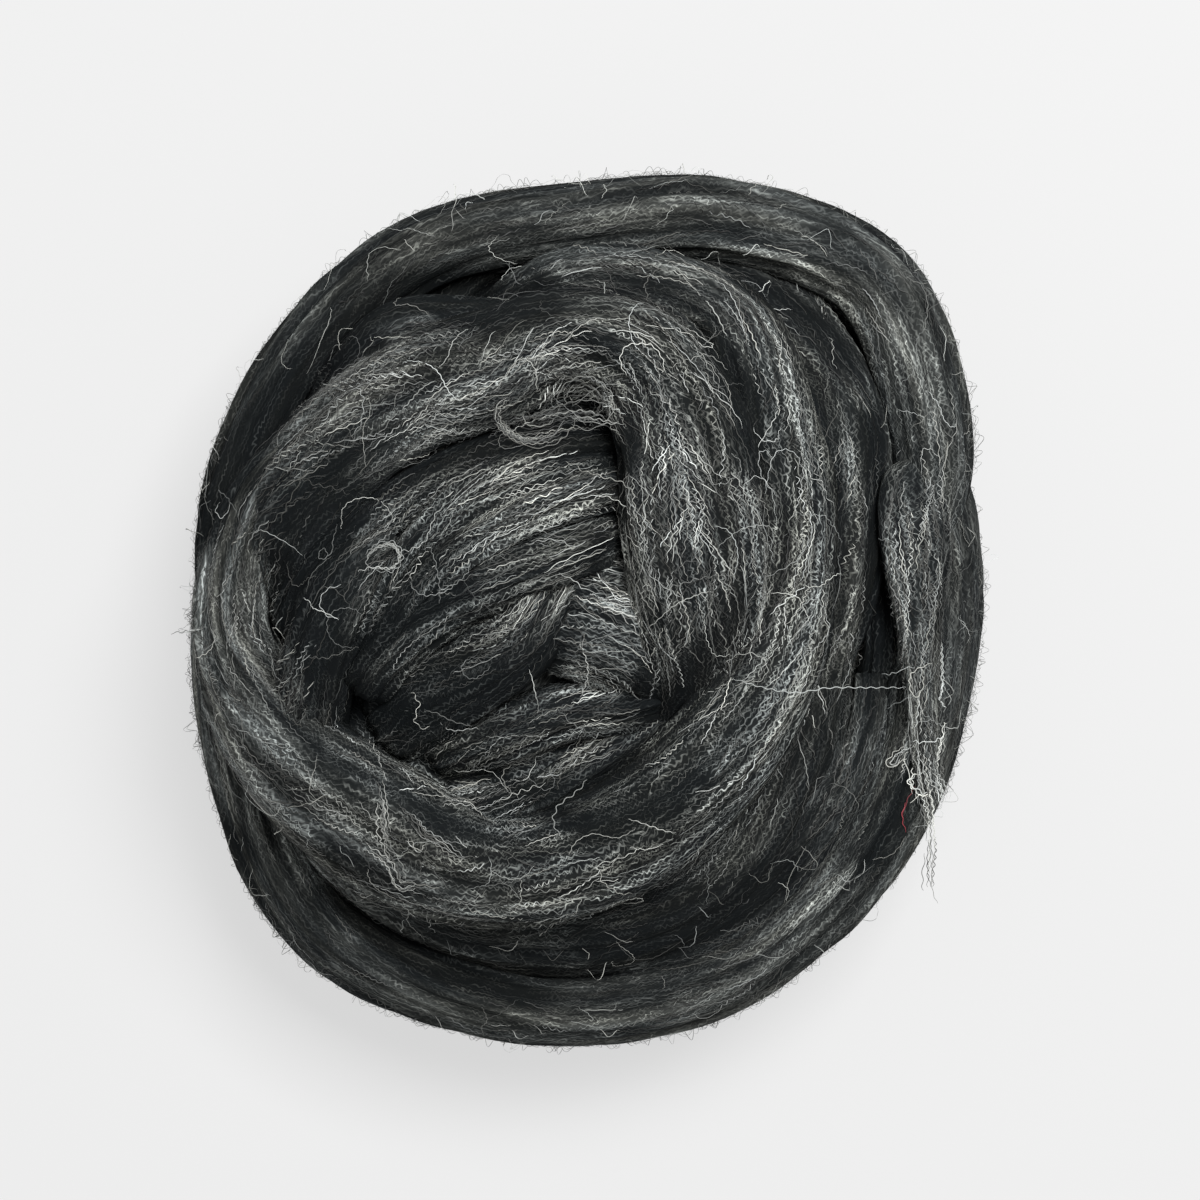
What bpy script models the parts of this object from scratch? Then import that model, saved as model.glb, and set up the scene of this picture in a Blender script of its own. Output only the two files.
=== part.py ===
"""A loosely wound ball of combed wool roving, lying on a table with its loose end over one flank.

Metres, +Z up. The origin is on the table, under the middle of the ball; +Y is the back of the ball.
The roving is one soft untwisted rope of fibre. Each turn of it is a flattened tube that follows the
ball's round form, and the turns and the wound heart are fused into one solid, as they are in one
length of wool. The loose end is a solid of its own, in a shallow seat pressed into the ball.
"""

import math
from collections import namedtuple

import bmesh
import bpy
import numpy as np
from mathutils import Matrix, Vector

MM = 0.001

# The round form that the turns follow: its half sizes, and the height of its widest level.
BALL_HALF_X = 90 * MM
BALL_HALF_Y = 99 * MM
BALL_HALF_Z = 60 * MM
BALL_MIDDLE = 36 * MM

# The heart is what the turns are wound on. The table flattens its underside.
HEART_HALF = (60 * MM, 67 * MM, 46 * MM)
HEART_MIDDLE = 43 * MM

# How finely the turns are made and fused.
TURN_SIDES = 20
SECTION_PITCH = 4 * MM
FUSE_VOXEL = 1.5 * MM
SMOOTH_PASSES = 5
BALL_TRIANGLES = 10400
END_ROUNDING = 0.07

# The roving is a bundle of slivers, which show as low lobes across each turn.
LOBE_COUNT = 5
LOBE_DEPTH = 0.09
LOBE_TWIST = 0.9

# The seat that the loose end presses into the ball.
SEAT_GAP = 0.4 * MM
SEAT_LIFT = 3 * MM

WOOL_COLOUR = (0.045, 0.047, 0.05, 1)
WOOL_ROUGHNESS = 0.95

# One row for each turn. The turn's middle line runs about a point (x, y) of the plan, from a first
# bearing in equal steps, in degrees anticlockwise from +X. At each step it has a reach from that
# point and a height above the table. A width can also change from step to step. All sizes are in
# millimetres.
Turn = namedtuple("Turn", "name about first step reach height width thick")
TURNS = (
    Turn("sole_front", (20, -190), 120, -7,
         (146, 150, 153, 155, 157, 158, 156),
         (25, 15, 10, 9, 10, 15, 25), 34, 20),
    Turn("sole_back", (-30, 190), 257, 8,
         (154, 153, 152, 152, 152, 150, 146),
         (26, 15, 10, 9, 10, 15, 26), 34, 20),
    Turn("sole_across", (120, 20), 150, 9,
         (140, 133, 128, 126, 127, 129, 134, 142),
         (24, 14, 9, 8, 8, 9, 14, 24), 32, 20),
    Turn("sole", (-10, -130), 120, -9,
         (143, 136, 131, 128, 127, 130, 134, 142),
         (24, 14, 9, 7, 7, 9, 14, 24), 36, 20),
    Turn("foot", (0, 0), 20, -30,
         (58, 63, 66, 70, 75, 76, 72, 65, 64, 67, 72, 73, 67, 54),
         (18, 16, 15, 14, 15, 17, 18, 17, 15, 15, 15, 16, 19, 24), 28, 20),
    Turn("low_slope", (0, 0), 250, -36,
         (76, 78, 73, 81, 87, 84, 78, 79, 84, 72),
         (40, 34, 25, 21, 24, 31, 35, 30, 24, 26), 28, 18),
    Turn("outer", (0, 0), 50, -30,
         (84, 84, 81, 84, 89, 92, 94, 85, 80, 77, 79, 83, 84, 70),
         (34, 40, 44, 45, 42, 39, 37, 37, 39, 38, 32, 26, 25, 30), 30, 18),
    Turn("behind", (0, 0), 128, -22,
         (68, 82, 86, 92, 94, 78),
         (34, 36, 40, 40, 38, 34), 28, 18),
    Turn("back", (0, 0), 196, -21,
         (74, 81, 84, 87, 89, 88, 94, 99, 88, 76),
         (34, 44, 48, 51, 53, 55, 56, 57, 58, 50),
         (26, 22, 16, 15, 17, 22, 27, 28, 28, 28), 17),
    Turn("lower_mid", (0, 0), 88, -25,
         (74, 80, 72, 57, 50, 56, 67, 73, 76, 77, 73),
         (42, 55, 64, 65, 63, 60, 56, 51, 45, 39, 30), 27, 18),
    Turn("slope", (0, 0), -16, -16,
         (60, 68, 72, 76, 79, 80),
         (42, 51, 54, 51, 46, 38), 20, 14),
    Turn("fold", (-30, 40), 170, -27,
         (28, 24, 24, 23, 25, 32),
         (60, 73, 77, 76, 73, 64), 12, 12),
    Turn("mid", (-12, 4), 104, -25,
         (59, 69, 73, 61, 56, 54, 54, 57, 61, 61, 64, 66, 62, 58),
         (54, 70, 78, 83, 85, 88, 88, 84, 78, 73, 70, 67, 74, 80),
         (15, 18, 20, 24, 23, 24, 26, 28, 27, 34, 32, 20, 14, 10), 17),
    Turn("between", (-8, 12), 100, -17,
         (52, 55, 56, 52, 47, 42),
         (78, 84, 88, 90, 88, 80), 9, 9),
    Turn("nook", (0, 0), 180, 17,
         (58, 53, 49, 47, 47),
         (58, 67, 70, 69, 62), 22, 14),
    Turn("bed", (-20, -50), 106, -11,
         (90, 93, 94, 94, 92),
         (74, 82, 85, 84, 78), 18, 14),
    Turn("roll", (-20, -60), 94, -11,
         (60, 62, 63, 64, 64),
         (78, 88, 94, 92, 78), 27, 17),
    Turn("under_low", (-20, 60), -52, -9,
         (84, 91, 94, 98, 105, 110),
         (74, 73, 73, 70, 66, 58), 17, 14),
    Turn("under_mid", (-20, 60), -58, -10,
         (90, 90, 90, 93, 98),
         (72, 78, 80, 78, 68), 12, 12),
    Turn("under_top", (-20, 60), -58, -10,
         (88, 85, 83, 86, 92),
         (75, 84, 88, 86, 74), 13, 13),
    Turn("bun_left", (20, -50), 164, -8,
         (84, 86, 88, 89, 88),
         (68, 80, 87, 90, 86), 17, 14),
    Turn("bun_low", (20, -50), 160, -10.7,
         (68, 62, 57, 55, 60, 70),
         (72, 84, 92, 97, 97, 84),
         (17, 20, 18, 15, 13, 12), 14),
    Turn("bun_back", (20, -50), 152, -10.8,
         (96, 96, 94, 92, 89, 86),
         (70, 82, 88, 92, 92, 80), 14, 13),
    Turn("bun_mid", (20, -50), 154, -11.3,
         (76, 74, 71, 68, 67, 69),
         (80, 91, 97, 101, 100, 84), 13, 15),
    Turn("bun_front", (20, -50), 148, -10.3,
         (75, 77, 78, 78, 78, 78),
         (84, 94, 100, 104, 103, 88), 12, 15),
    Turn("bun_ridge", (20, -50), 150, -10.8,
         (76, 80, 84, 86, 86, 84),
         (82, 92, 97, 100, 98, 84), 11, 13),
    Turn("inner", (-8, 12), 196, -22,
         (57, 59, 50, 45, 42, 46, 46, 39, 33, 32, 35, 42, 50),
         (58, 75, 83, 88, 92, 95, 98, 101, 102, 101, 95, 80, 65),
         (18, 28, 28, 27, 26, 22, 24, 29, 31, 30, 27, 23, 16), 17),
)

# The loose end, from its root on the back turn to its ragged tip: one row for each section. It
# leans with the flank that it lies on.
EndSection = namedtuple("EndSection", "x y z width thick")
LOOSE_END = (
    EndSection(74, 34, 67, 12, 6),
    EndSection(73, 25, 67, 18, 7),
    EndSection(74.5, 12, 65, 17, 7),
    EndSection(75.5, -1, 61.5, 12, 6),
    EndSection(76, -14, 60, 9, 5),
    EndSection(76.7, -28, 58.5, 8, 4.5),
    EndSection(77.5, -38, 57, 6.5, 4),
    EndSection(78, -45, 55.5, 4, 3),
)
END_FACING = (0.5, 0, 0.87)
END_SIDES = 12
END_PITCH = 5 * MM


def clear_scene():
    for old in list(bpy.data.objects):
        bpy.data.objects.remove(old, do_unlink=True)


def smooth_path(stations, pitch):
    """Rows of numbers, about a pitch apart, on one smooth curve through the stations."""
    stations = np.array(stations, float)
    ends = 2 * stations[[0, -1]] - stations[[1, -2]]
    held = np.vstack([ends[:1], stations, ends[1:]])
    rows = []
    for before, here, there, after in zip(held, held[1:], held[2:], held[3:]):
        steps = max(2, math.ceil(np.linalg.norm((there - here)[:3]) / pitch))
        for share in np.arange(steps) / steps:
            rows.append(0.5 * (
                2 * here
                + (there - before) * share
                + (2 * before - 5 * here + 4 * there - after) * share**2
                + (3 * here - before - 3 * there + after) * share**3
            ))
    rows.append(stations[-1])
    return np.array(rows)


def turn_stations(turn):
    """What a turn's middle line goes through: rows of x, y, z and the turn's width, in metres."""
    widths = turn.width if isinstance(turn.width, tuple) else [turn.width] * len(turn.reach)
    rows = []
    for step, (reach, height, width) in enumerate(zip(turn.reach, turn.height, widths)):
        bearing = math.radians(turn.first + step * turn.step)
        rows.append((
            turn.about[0] + reach * math.cos(bearing),
            turn.about[1] + reach * math.sin(bearing),
            height,
            width,
        ))
    return np.array(rows) * MM


def outward(point):
    """The way out of the ball's round form at a point."""
    return Vector((
        point[0] / BALL_HALF_X**2,
        point[1] / BALL_HALF_Y**2,
        (point[2] - BALL_MIDDLE) / BALL_HALF_Z**2,
    )).normalized()


def section_frames(line, facing=None):
    """For each point of a line: its place, the direction across the tube, and the way that the
    tube's broad side faces, which is out of the ball unless given."""
    frames = []
    along = np.gradient(line[:, :3], axis=0)
    for point, forward in zip(line, along):
        forward = Vector(forward).normalized()
        out = Vector(facing) if facing else outward(point)
        across = out.cross(forward).normalized()
        frames.append((Vector(point[:3]), across, forward.cross(across)))
    return frames


def end_taper(share):
    """Rounds both ends of a tube: 1 along most of it, and nearly 0 at its ends."""
    from_end = min(share, 1 - share) / END_ROUNDING
    return math.sqrt(max(0.02, 1 - (1 - min(1, from_end))**2))


def sleeve(sides, sections):
    """A closed unit tube along Z, with that many sides and sections, as a mesh of its own."""
    tube = bmesh.new()
    bmesh.ops.create_cone(
        tube, cap_ends=True, segments=sides, radius1=1, radius2=1, depth=1,
        matrix=Matrix.Translation((0, 0, 0.5)),
    )
    upright = [e for e in tube.edges if abs(e.verts[0].co.z - e.verts[1].co.z) > 0.5]
    bmesh.ops.subdivide_edges(tube, edges=upright, cuts=sections - 2, use_grid_fill=True)
    return tube


def lay_tube(bm, frames, widths, thicks, sides, lobes):
    """Lays a sleeve along the frames, flattened to the widths and thicknesses given."""
    last = len(frames) - 1
    tube = sleeve(sides, len(frames))
    for vert in tube.verts:
        index = round(vert.co.z * last)
        place, across, out = frames[index]
        share = index / last
        angle = math.atan2(vert.co.y, vert.co.x)
        swell = end_taper(share)
        if lobes:
            swell *= 1 + LOBE_DEPTH * math.cos(LOBE_COUNT * angle + LOBE_TWIST * math.tau * share)
        vert.co = (
            place
            + across * (math.cos(angle) * widths[index] / 2 * swell)
            + out * (math.sin(angle) * thicks[index] / 2 * swell)
        )
    laid = bpy.data.meshes.new("tube")
    tube.to_mesh(laid)
    tube.free()
    bm.from_mesh(laid)
    bpy.data.meshes.remove(laid)


def add_turn(bm, turn):
    line = smooth_path(turn_stations(turn), SECTION_PITCH)
    thicks = [turn.thick * MM] * len(line)
    lay_tube(bm, section_frames(line), line[:, 3], thicks, TURN_SIDES, True)


def add_heart(bm):
    size = Matrix.Diagonal((*HEART_HALF, 1))
    bmesh.ops.create_icosphere(
        bm, subdivisions=4, radius=1, matrix=Matrix.Translation((0, 0, HEART_MIDDLE)) @ size
    )


def add_loose_end(bm, growth):
    """The loose end, every side of it standing out by the growth given."""
    line = smooth_path([[n * MM for n in row] for row in LOOSE_END], END_PITCH)
    grown = 2 * growth
    frames = section_frames(line, END_FACING)
    lay_tube(bm, frames, line[:, 3] + grown, line[:, 4] + grown, END_SIDES, False)


def object_of(bm, name):
    mesh = bpy.data.meshes.new(name)
    bm.to_mesh(mesh)
    bm.free()
    made = bpy.data.objects.new(name, mesh)
    bpy.context.scene.collection.objects.link(made)
    return made


def apply_modifiers(made):
    """Replaces an object's mesh with the shape that its modifiers give."""
    bpy.context.view_layer.update()
    graph = bpy.context.evaluated_depsgraph_get()
    shaped = bpy.data.meshes.new_from_object(made.evaluated_get(graph))
    made.modifiers.clear()
    made.data = shaped


def keep_outer_skin(made):
    """Drops the skins of small hollows shut in between the turns."""
    bm = bmesh.new()
    bm.from_mesh(made.data)
    islands = []
    waiting = set(bm.verts)
    while waiting:
        grown = {waiting.pop()}
        edge = set(grown)
        while edge:
            edge = {e.other_vert(v) for v in edge for e in v.link_edges} - grown
            grown |= edge
        waiting -= grown
        islands.append(grown)
    islands.sort(key=len)
    inner = [v for island in islands[:-1] for v in island]
    bmesh.ops.delete(bm, geom=inner, context="VERTS")
    bm.to_mesh(made.data)
    bm.free()


def fuse(made):
    """Fuses everything in an object's mesh into one skin, of about the ball's triangle budget."""
    remesh = made.modifiers.new("Fuse", "REMESH")
    remesh.mode = "VOXEL"
    remesh.voxel_size = FUSE_VOXEL
    soften = made.modifiers.new("Soften", "SMOOTH")
    soften.iterations = SMOOTH_PASSES
    apply_modifiers(made)
    keep_outer_skin(made)
    triangles = sum(len(face.vertices) - 2 for face in made.data.polygons)
    thin = made.modifiers.new("Thin", "DECIMATE")
    thin.ratio = BALL_TRIANGLES / triangles
    apply_modifiers(made)


def cutter(made):
    made.hide_render = True
    made.display_type = "WIRE"
    return made


def table_block():
    """What the table takes off the underside: a block whose top is the table."""
    bm = bmesh.new()
    size = 4 * BALL_HALF_Y
    bmesh.ops.create_cube(bm, size=size, matrix=Matrix.Translation((0, 0, -size / 2)))
    return cutter(object_of(bm, "table_block"))


def seat_block():
    """What the loose end presses out of the ball: the loose end itself, and the gap round it."""
    bm = bmesh.new()
    add_loose_end(bm, SEAT_GAP)
    return cutter(object_of(bm, "seat_block"))


def clear_block():
    """The same block again, lifted, so that no thin lip of the ball is left over the loose end."""
    bm = bmesh.new()
    add_loose_end(bm, SEAT_GAP)
    bmesh.ops.translate(bm, verts=bm.verts, vec=Vector(END_FACING) * SEAT_LIFT)
    return cutter(object_of(bm, "clear_block"))


def cut(made, tool):
    boolean = made.modifiers.new("Cut " + tool.name, "BOOLEAN")
    boolean.operation = "DIFFERENCE"
    boolean.object = tool


def wool():
    material = bpy.data.materials.new("charcoal wool")
    material.use_nodes = True
    shader = material.node_tree.nodes["Principled BSDF"]
    shader.inputs["Base Color"].default_value = WOOL_COLOUR
    shader.inputs["Roughness"].default_value = WOOL_ROUGHNESS
    shader.inputs["Metallic"].default_value = 0
    return material


def make_ball(material):
    bm = bmesh.new()
    add_heart(bm)
    for turn in TURNS:
        add_turn(bm, turn)
    ball = object_of(bm, "wound_ball")
    fuse(ball)
    cut(ball, table_block())
    cut(ball, seat_block())
    cut(ball, clear_block())
    ball.data.materials.append(material)
    ball.data.shade_smooth()
    return ball


def make_loose_end(material):
    bm = bmesh.new()
    add_loose_end(bm, 0)
    loose_end = object_of(bm, "loose_end")
    loose_end.data.materials.append(material)
    loose_end.data.shade_smooth()
    return loose_end


def main():
    clear_scene()
    material = wool()
    make_ball(material)
    make_loose_end(material)


main()
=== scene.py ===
# %% [markdown]
# # A loosely wound ball of wool roving
# Combed roving is a thick, soft rope of wool fibres that all lie one way and aren't twisted. Here a
# few metres of it are wound by hand into a ball and seen from straight above. The form comes from
# the turns, and the look comes from thousands of fine pale fibres, each with its own small waves,
# which the sheep's fleece calls crimp.
#
# The solids of the part give the form in one lump. This script lays each turn again as a piece with
# ridges and a fibre pattern, and then lays real fibres on it.

import math
from collections import namedtuple

import bmesh
import bpy
import numpy as np
from mathutils import Matrix, Vector
from mathutils.bvhtree import BVHTree


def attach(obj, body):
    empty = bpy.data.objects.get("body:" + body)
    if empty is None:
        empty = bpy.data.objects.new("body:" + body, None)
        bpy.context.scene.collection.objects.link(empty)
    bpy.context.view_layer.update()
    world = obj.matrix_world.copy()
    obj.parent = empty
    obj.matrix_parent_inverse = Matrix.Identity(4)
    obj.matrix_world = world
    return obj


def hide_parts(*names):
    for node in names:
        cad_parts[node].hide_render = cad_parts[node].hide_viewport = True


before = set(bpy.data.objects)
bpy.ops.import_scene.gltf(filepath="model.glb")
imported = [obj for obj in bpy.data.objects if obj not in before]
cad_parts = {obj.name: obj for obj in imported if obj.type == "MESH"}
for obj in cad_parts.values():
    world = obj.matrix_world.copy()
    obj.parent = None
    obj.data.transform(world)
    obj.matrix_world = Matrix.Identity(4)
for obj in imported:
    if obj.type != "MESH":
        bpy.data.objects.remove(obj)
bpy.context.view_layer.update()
MM = 0.001
print("CAD nodes:", sorted(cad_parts))

# %% [markdown]
# ## The turns
# One row is one turn of the roving. It is described as a hand would wind it: about a point of the
# plan, from a first bearing, in equal steps, with a reach from that point and a height above the
# table at each step. The rows run from the underside to the top of the ball, and the solids were
# made from the same rows, so that what is seen is also what collides. Only the last four rows
# aren't in the solids: they are small fillers that lie in creases.
#
# The `part` column sorts the turns into the pieces that they end up in.

# %% The table of turns, in millimetres and degrees
Turn = namedtuple("Turn", "part name about first step reach height width thick")
TURNS = (
    Turn("underside", "sole_front", (20, -190), 120, -7,
         (146, 150, 153, 155, 157, 158, 156),
         (25, 15, 10, 9, 10, 15, 25), 34, 20),
    Turn("underside", "sole_back", (-30, 190), 257, 8,
         (154, 153, 152, 152, 152, 150, 146),
         (26, 15, 10, 9, 10, 15, 26), 34, 20),
    Turn("underside", "sole_across", (120, 20), 150, 9,
         (140, 133, 128, 126, 127, 129, 134, 142),
         (24, 14, 9, 8, 8, 9, 14, 24), 32, 20),
    Turn("underside", "sole", (-10, -130), 120, -9,
         (143, 136, 131, 128, 127, 130, 134, 142),
         (24, 14, 9, 7, 7, 9, 14, 24), 36, 20),
    Turn("underside", "foot", (0, 0), 20, -30,
         (58, 63, 66, 70, 75, 76, 72, 65, 64, 67, 72, 73, 67, 54),
         (18, 16, 15, 14, 15, 17, 18, 17, 15, 15, 15, 16, 19, 24), 28, 20),
    Turn("outside", "low_slope", (0, 0), 250, -36,
         (76, 78, 73, 81, 87, 84, 78, 79, 84, 72),
         (40, 34, 25, 21, 24, 31, 35, 30, 24, 26), 28, 18),
    Turn("outside", "outer", (0, 0), 50, -30,
         (84, 84, 81, 84, 89, 92, 94, 85, 80, 77, 79, 83, 84, 70),
         (34, 40, 44, 45, 42, 39, 37, 37, 39, 38, 32, 26, 25, 30), 30, 18),
    Turn("outside", "behind", (0, 0), 128, -22,
         (68, 82, 86, 92, 94, 78),
         (34, 36, 40, 40, 38, 34), 28, 18),
    Turn("outside", "back", (0, 0), 196, -21,
         (74, 81, 84, 87, 89, 88, 94, 99, 88, 76),
         (34, 44, 48, 51, 53, 55, 56, 57, 58, 50),
         (26, 22, 16, 15, 17, 22, 27, 28, 28, 28), 17),
    Turn("middle", "lower_mid", (0, 0), 88, -25,
         (74, 80, 72, 57, 50, 56, 67, 73, 76, 77, 73),
         (42, 55, 64, 65, 63, 60, 56, 51, 45, 39, 30), 27, 18),
    Turn("middle", "slope", (0, 0), -16, -16,
         (60, 68, 72, 76, 79, 80),
         (42, 51, 54, 51, 46, 38), 20, 14),
    Turn("middle", "fold", (-30, 40), 170, -27,
         (28, 24, 24, 23, 25, 32),
         (60, 73, 77, 76, 73, 64), 12, 12),
    Turn("middle", "mid", (-12, 4), 104, -25,
         (59, 69, 73, 61, 56, 54, 54, 57, 61, 61, 64, 66, 62, 58),
         (54, 70, 78, 83, 85, 88, 88, 84, 78, 73, 70, 67, 74, 80),
         (15, 18, 20, 24, 23, 24, 26, 28, 27, 34, 32, 20, 14, 10), 17),
    Turn("middle", "between", (-8, 12), 100, -17,
         (52, 55, 56, 52, 47, 42),
         (78, 84, 88, 90, 88, 80), 9, 9),
    Turn("bun", "nook", (0, 0), 180, 17,
         (58, 53, 49, 47, 47),
         (58, 67, 70, 69, 62), 22, 14),
    Turn("bun", "bed", (-20, -50), 106, -11,
         (90, 93, 94, 94, 92),
         (74, 82, 85, 84, 78), 18, 14),
    Turn("bun", "roll", (-20, -60), 94, -11,
         (60, 62, 63, 64, 64),
         (78, 88, 94, 92, 78), 27, 17),
    Turn("bun", "under_low", (-20, 60), -52, -9,
         (84, 91, 94, 98, 105, 110),
         (74, 73, 73, 70, 66, 58), 17, 14),
    Turn("bun", "under_mid", (-20, 60), -58, -10,
         (90, 90, 90, 93, 98),
         (72, 78, 80, 78, 68), 12, 12),
    Turn("bun", "under_top", (-20, 60), -58, -10,
         (88, 85, 83, 86, 92),
         (75, 84, 88, 86, 74), 13, 13),
    Turn("bun", "bun_left", (20, -50), 164, -8,
         (84, 86, 88, 89, 88),
         (68, 80, 87, 90, 86), 17, 14),
    Turn("bun", "bun_low", (20, -50), 160, -10.7,
         (68, 62, 57, 55, 60, 70),
         (72, 84, 92, 97, 97, 84),
         (17, 20, 18, 15, 13, 12), 14),
    Turn("bun", "bun_back", (20, -50), 152, -10.8,
         (96, 96, 94, 92, 89, 86),
         (70, 82, 88, 92, 92, 80), 14, 13),
    Turn("bun", "bun_mid", (20, -50), 154, -11.3,
         (76, 74, 71, 68, 67, 69),
         (80, 91, 97, 101, 100, 84), 13, 15),
    Turn("bun", "bun_front", (20, -50), 148, -10.3,
         (75, 77, 78, 78, 78, 78),
         (84, 94, 100, 104, 103, 88), 12, 15),
    Turn("bun", "bun_ridge", (20, -50), 150, -10.8,
         (76, 80, 84, 86, 86, 84),
         (82, 92, 97, 100, 98, 84), 11, 13),
    Turn("inner", "inner", (-8, 12), 196, -22,
         (57, 59, 50, 45, 42, 46, 46, 39, 33, 32, 35, 42, 50),
         (58, 75, 83, 88, 92, 95, 98, 101, 102, 101, 95, 80, 65),
         (18, 28, 28, 27, 26, 22, 24, 29, 31, 30, 27, 23, 16), 17),
    Turn("bun", "front_filler", (-60, 60), -80, 9,
         (110, 110, 111, 112, 115),
         (66, 76, 81, 83, 80), 13, 9),
    Turn("middle", "side_filler", (0, 0), -13, -11,
         (67, 70, 72, 74),
         (46, 53, 53, 45), 14, 10),
    Turn("middle", "gap_filler", (0, 0), 12, -9,
         (66, 67, 68, 68),
         (42, 50, 50, 42), 11, 8),
    Turn("bun", "pocket_filler", (0, 0), 194, 8,
         (57, 56, 55, 54),
         (52, 61, 62, 54), 12, 9),
)
EndSection = namedtuple("EndSection", "x y z width thick")
LOOSE_END = (
    EndSection(74, 34, 67, 12, 6),
    EndSection(73, 25, 67, 18, 7),
    EndSection(74.5, 12, 65, 17, 7),
    EndSection(75.5, -1, 61.5, 12, 6),
    EndSection(76, -14, 60, 9, 5),
    EndSection(76.7, -28, 58.5, 8, 4.5),
    EndSection(77.5, -38, 57, 6.5, 4),
    EndSection(78, -45, 55.5, 4, 3),
)
END_FACING = (0.5, 0, 0.87)
print(len(TURNS), "turns and", len(LOOSE_END), "sections of loose end")

# %% [markdown]
# ## From a row to a path
# A turn's stations are joined by a smooth curve, a Catmull-Rom spline, which goes through every
# station. At each point of the curve three directions are kept: along the roving, across it, and out
# of the ball. A flattened tube laid in these directions hugs the ball as a real turn does.

# %% Paths and their frames
BALL_HALF = (90 * MM, 99 * MM, 60 * MM)
BALL_MIDDLE = np.array((0, 0, 36)) * MM
PATH_PITCH = 2 * MM
Path = namedtuple("Path", "place across out width thick length seed")


def smooth_path(stations, pitch):
    """Rows of numbers, about a pitch apart, on one smooth curve through the stations."""
    stations = np.array(stations, float)
    ends = 2 * stations[[0, -1]] - stations[[1, -2]]
    held = np.vstack([ends[:1], stations, ends[1:]])
    rows = []
    for before, here, there, after in zip(held, held[1:], held[2:], held[3:]):
        steps = max(2, math.ceil(np.linalg.norm((there - here)[:3]) / pitch))
        for share in np.arange(steps) / steps:
            rows.append(0.5 * (
                2 * here
                + (there - before) * share
                + (2 * before - 5 * here + 4 * there - after) * share**2
                + (3 * here - before - 3 * there + after) * share**3
            ))
    rows.append(stations[-1])
    return np.array(rows)


def unit(vectors):
    """The vectors' directions, each with a length of 1."""
    return vectors / np.linalg.norm(vectors, axis=-1, keepdims=True)


def path_of(rows, seed, facing=None):
    """The path through rows of x, y, z, width and thickness, in metres."""
    line = smooth_path(rows, PATH_PITCH)
    place, width, thick = line[:, :3], line[:, 3], line[:, 4]
    along = unit(np.gradient(place, axis=0))
    if facing is None:
        facing = (place - BALL_MIDDLE) / np.square(BALL_HALF)
    across = unit(np.cross(np.broadcast_to(facing, place.shape), along))
    length = np.linalg.norm(np.diff(place, axis=0), axis=1).sum()
    return Path(place, across, np.cross(along, across), width, thick, length, seed)


def turn_rows(turn):
    """A turn's stations, as rows of x, y, z, width and thickness in metres."""
    widths = turn.width if isinstance(turn.width, tuple) else [turn.width] * len(turn.reach)
    bearings = np.radians(turn.first + turn.step * np.arange(len(turn.reach)))
    reach = np.array(turn.reach)
    return MM * np.column_stack([
        turn.about[0] + reach * np.cos(bearings),
        turn.about[1] + reach * np.sin(bearings),
        turn.height, widths, [turn.thick] * len(reach),
    ])


paths = {turn.name: path_of(turn_rows(turn), seed) for seed, turn in enumerate(TURNS)}
paths["loose_end"] = path_of(MM * np.array(LOOSE_END), len(TURNS), END_FACING)
print("roving laid:", round(sum(path.length for path in paths.values()), 2), "m")

# %% [markdown]
# ## The surface of a turn
# Roving is a bundle of slivers, so its surface has long soft ridges that wander and merge. A sum of
# a few waves round the section, each drifting slowly along the path, gives just that. The bundle also
# rolls a little to and fro as it is wound, so its strands cross the turn at a slant.
#
# The surface is a function of a share of the length and an angle round the bundle. Both the tubes
# and the loose fibres are placed with it, so a fibre always lies on its own turn.

# %% The ridged surface
Ridge = namedtuple("Ridge", "count depth drift_mm wander")
RIDGES = (
    Ridge(3, 0.50, 150, 1.0),
    Ridge(7, 0.55, 90, 1.8),
    Ridge(12, 0.55, 60, 2.4),
    Ridge(19, 0.38, 42, 2.8),
    Ridge(31, 0.20, 30, 3.2),
)
RIDGE_TOTAL = sum(ridge.depth for ridge in RIDGES)
TURN_PHASE = 2.4
RIDGE_PHASE = 1.7
THIN_TURN = 7 * MM
END_ROUNDING = 0.07
END_BLUNTNESS = 0.02
ROLL = 0.55
ROLL_LENGTH = 55 * MM


def sample(values, share):
    """A path's values at shares of its length, from 0 to 1."""
    at = np.clip(share, 0, 1) * (len(values) - 1)
    low = np.minimum(at.astype(int), len(values) - 2)
    part = at - low
    if values.ndim > 1:
        part = part[..., None]
    return values[low] * (1 - part) + values[low + 1] * part


def relief(path, share, angle):
    """How far the ridges stand out of the plain section, from about -1 to 1."""
    total = np.zeros(np.broadcast(share, angle).shape)
    for number, ridge in enumerate(RIDGES):
        phase = TURN_PHASE * path.seed + RIDGE_PHASE * number
        gone = share * path.length / (ridge.drift_mm * MM)
        # Two waves whose lengths have no common measure, so that a ridge never wanders twice alike.
        drift = ridge.wander * (np.sin(2 * gone + phase) + 0.5 * np.sin(4.7 * gone + 3 * phase))
        swell = 0.7 + 0.3 * np.sin(3 * gone + 2 * phase + angle)
        total += ridge.depth * swell * np.sin(ridge.count * angle + drift + phase)
    return total / RIDGE_TOTAL


def roll(path, share):
    """How far the bundle has rolled about its own path, in radians."""
    return ROLL * np.sin(share * path.length / ROLL_LENGTH + TURN_PHASE * path.seed)


def end_taper(share):
    """Rounds both ends of a tube: 1 along most of it, and nearly 0 at its ends."""
    from_end = np.minimum(share, 1 - share) / END_ROUNDING
    return np.sqrt(np.maximum(END_BLUNTNESS, 1 - (1 - np.clip(from_end, 0, 1))**2))


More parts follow.
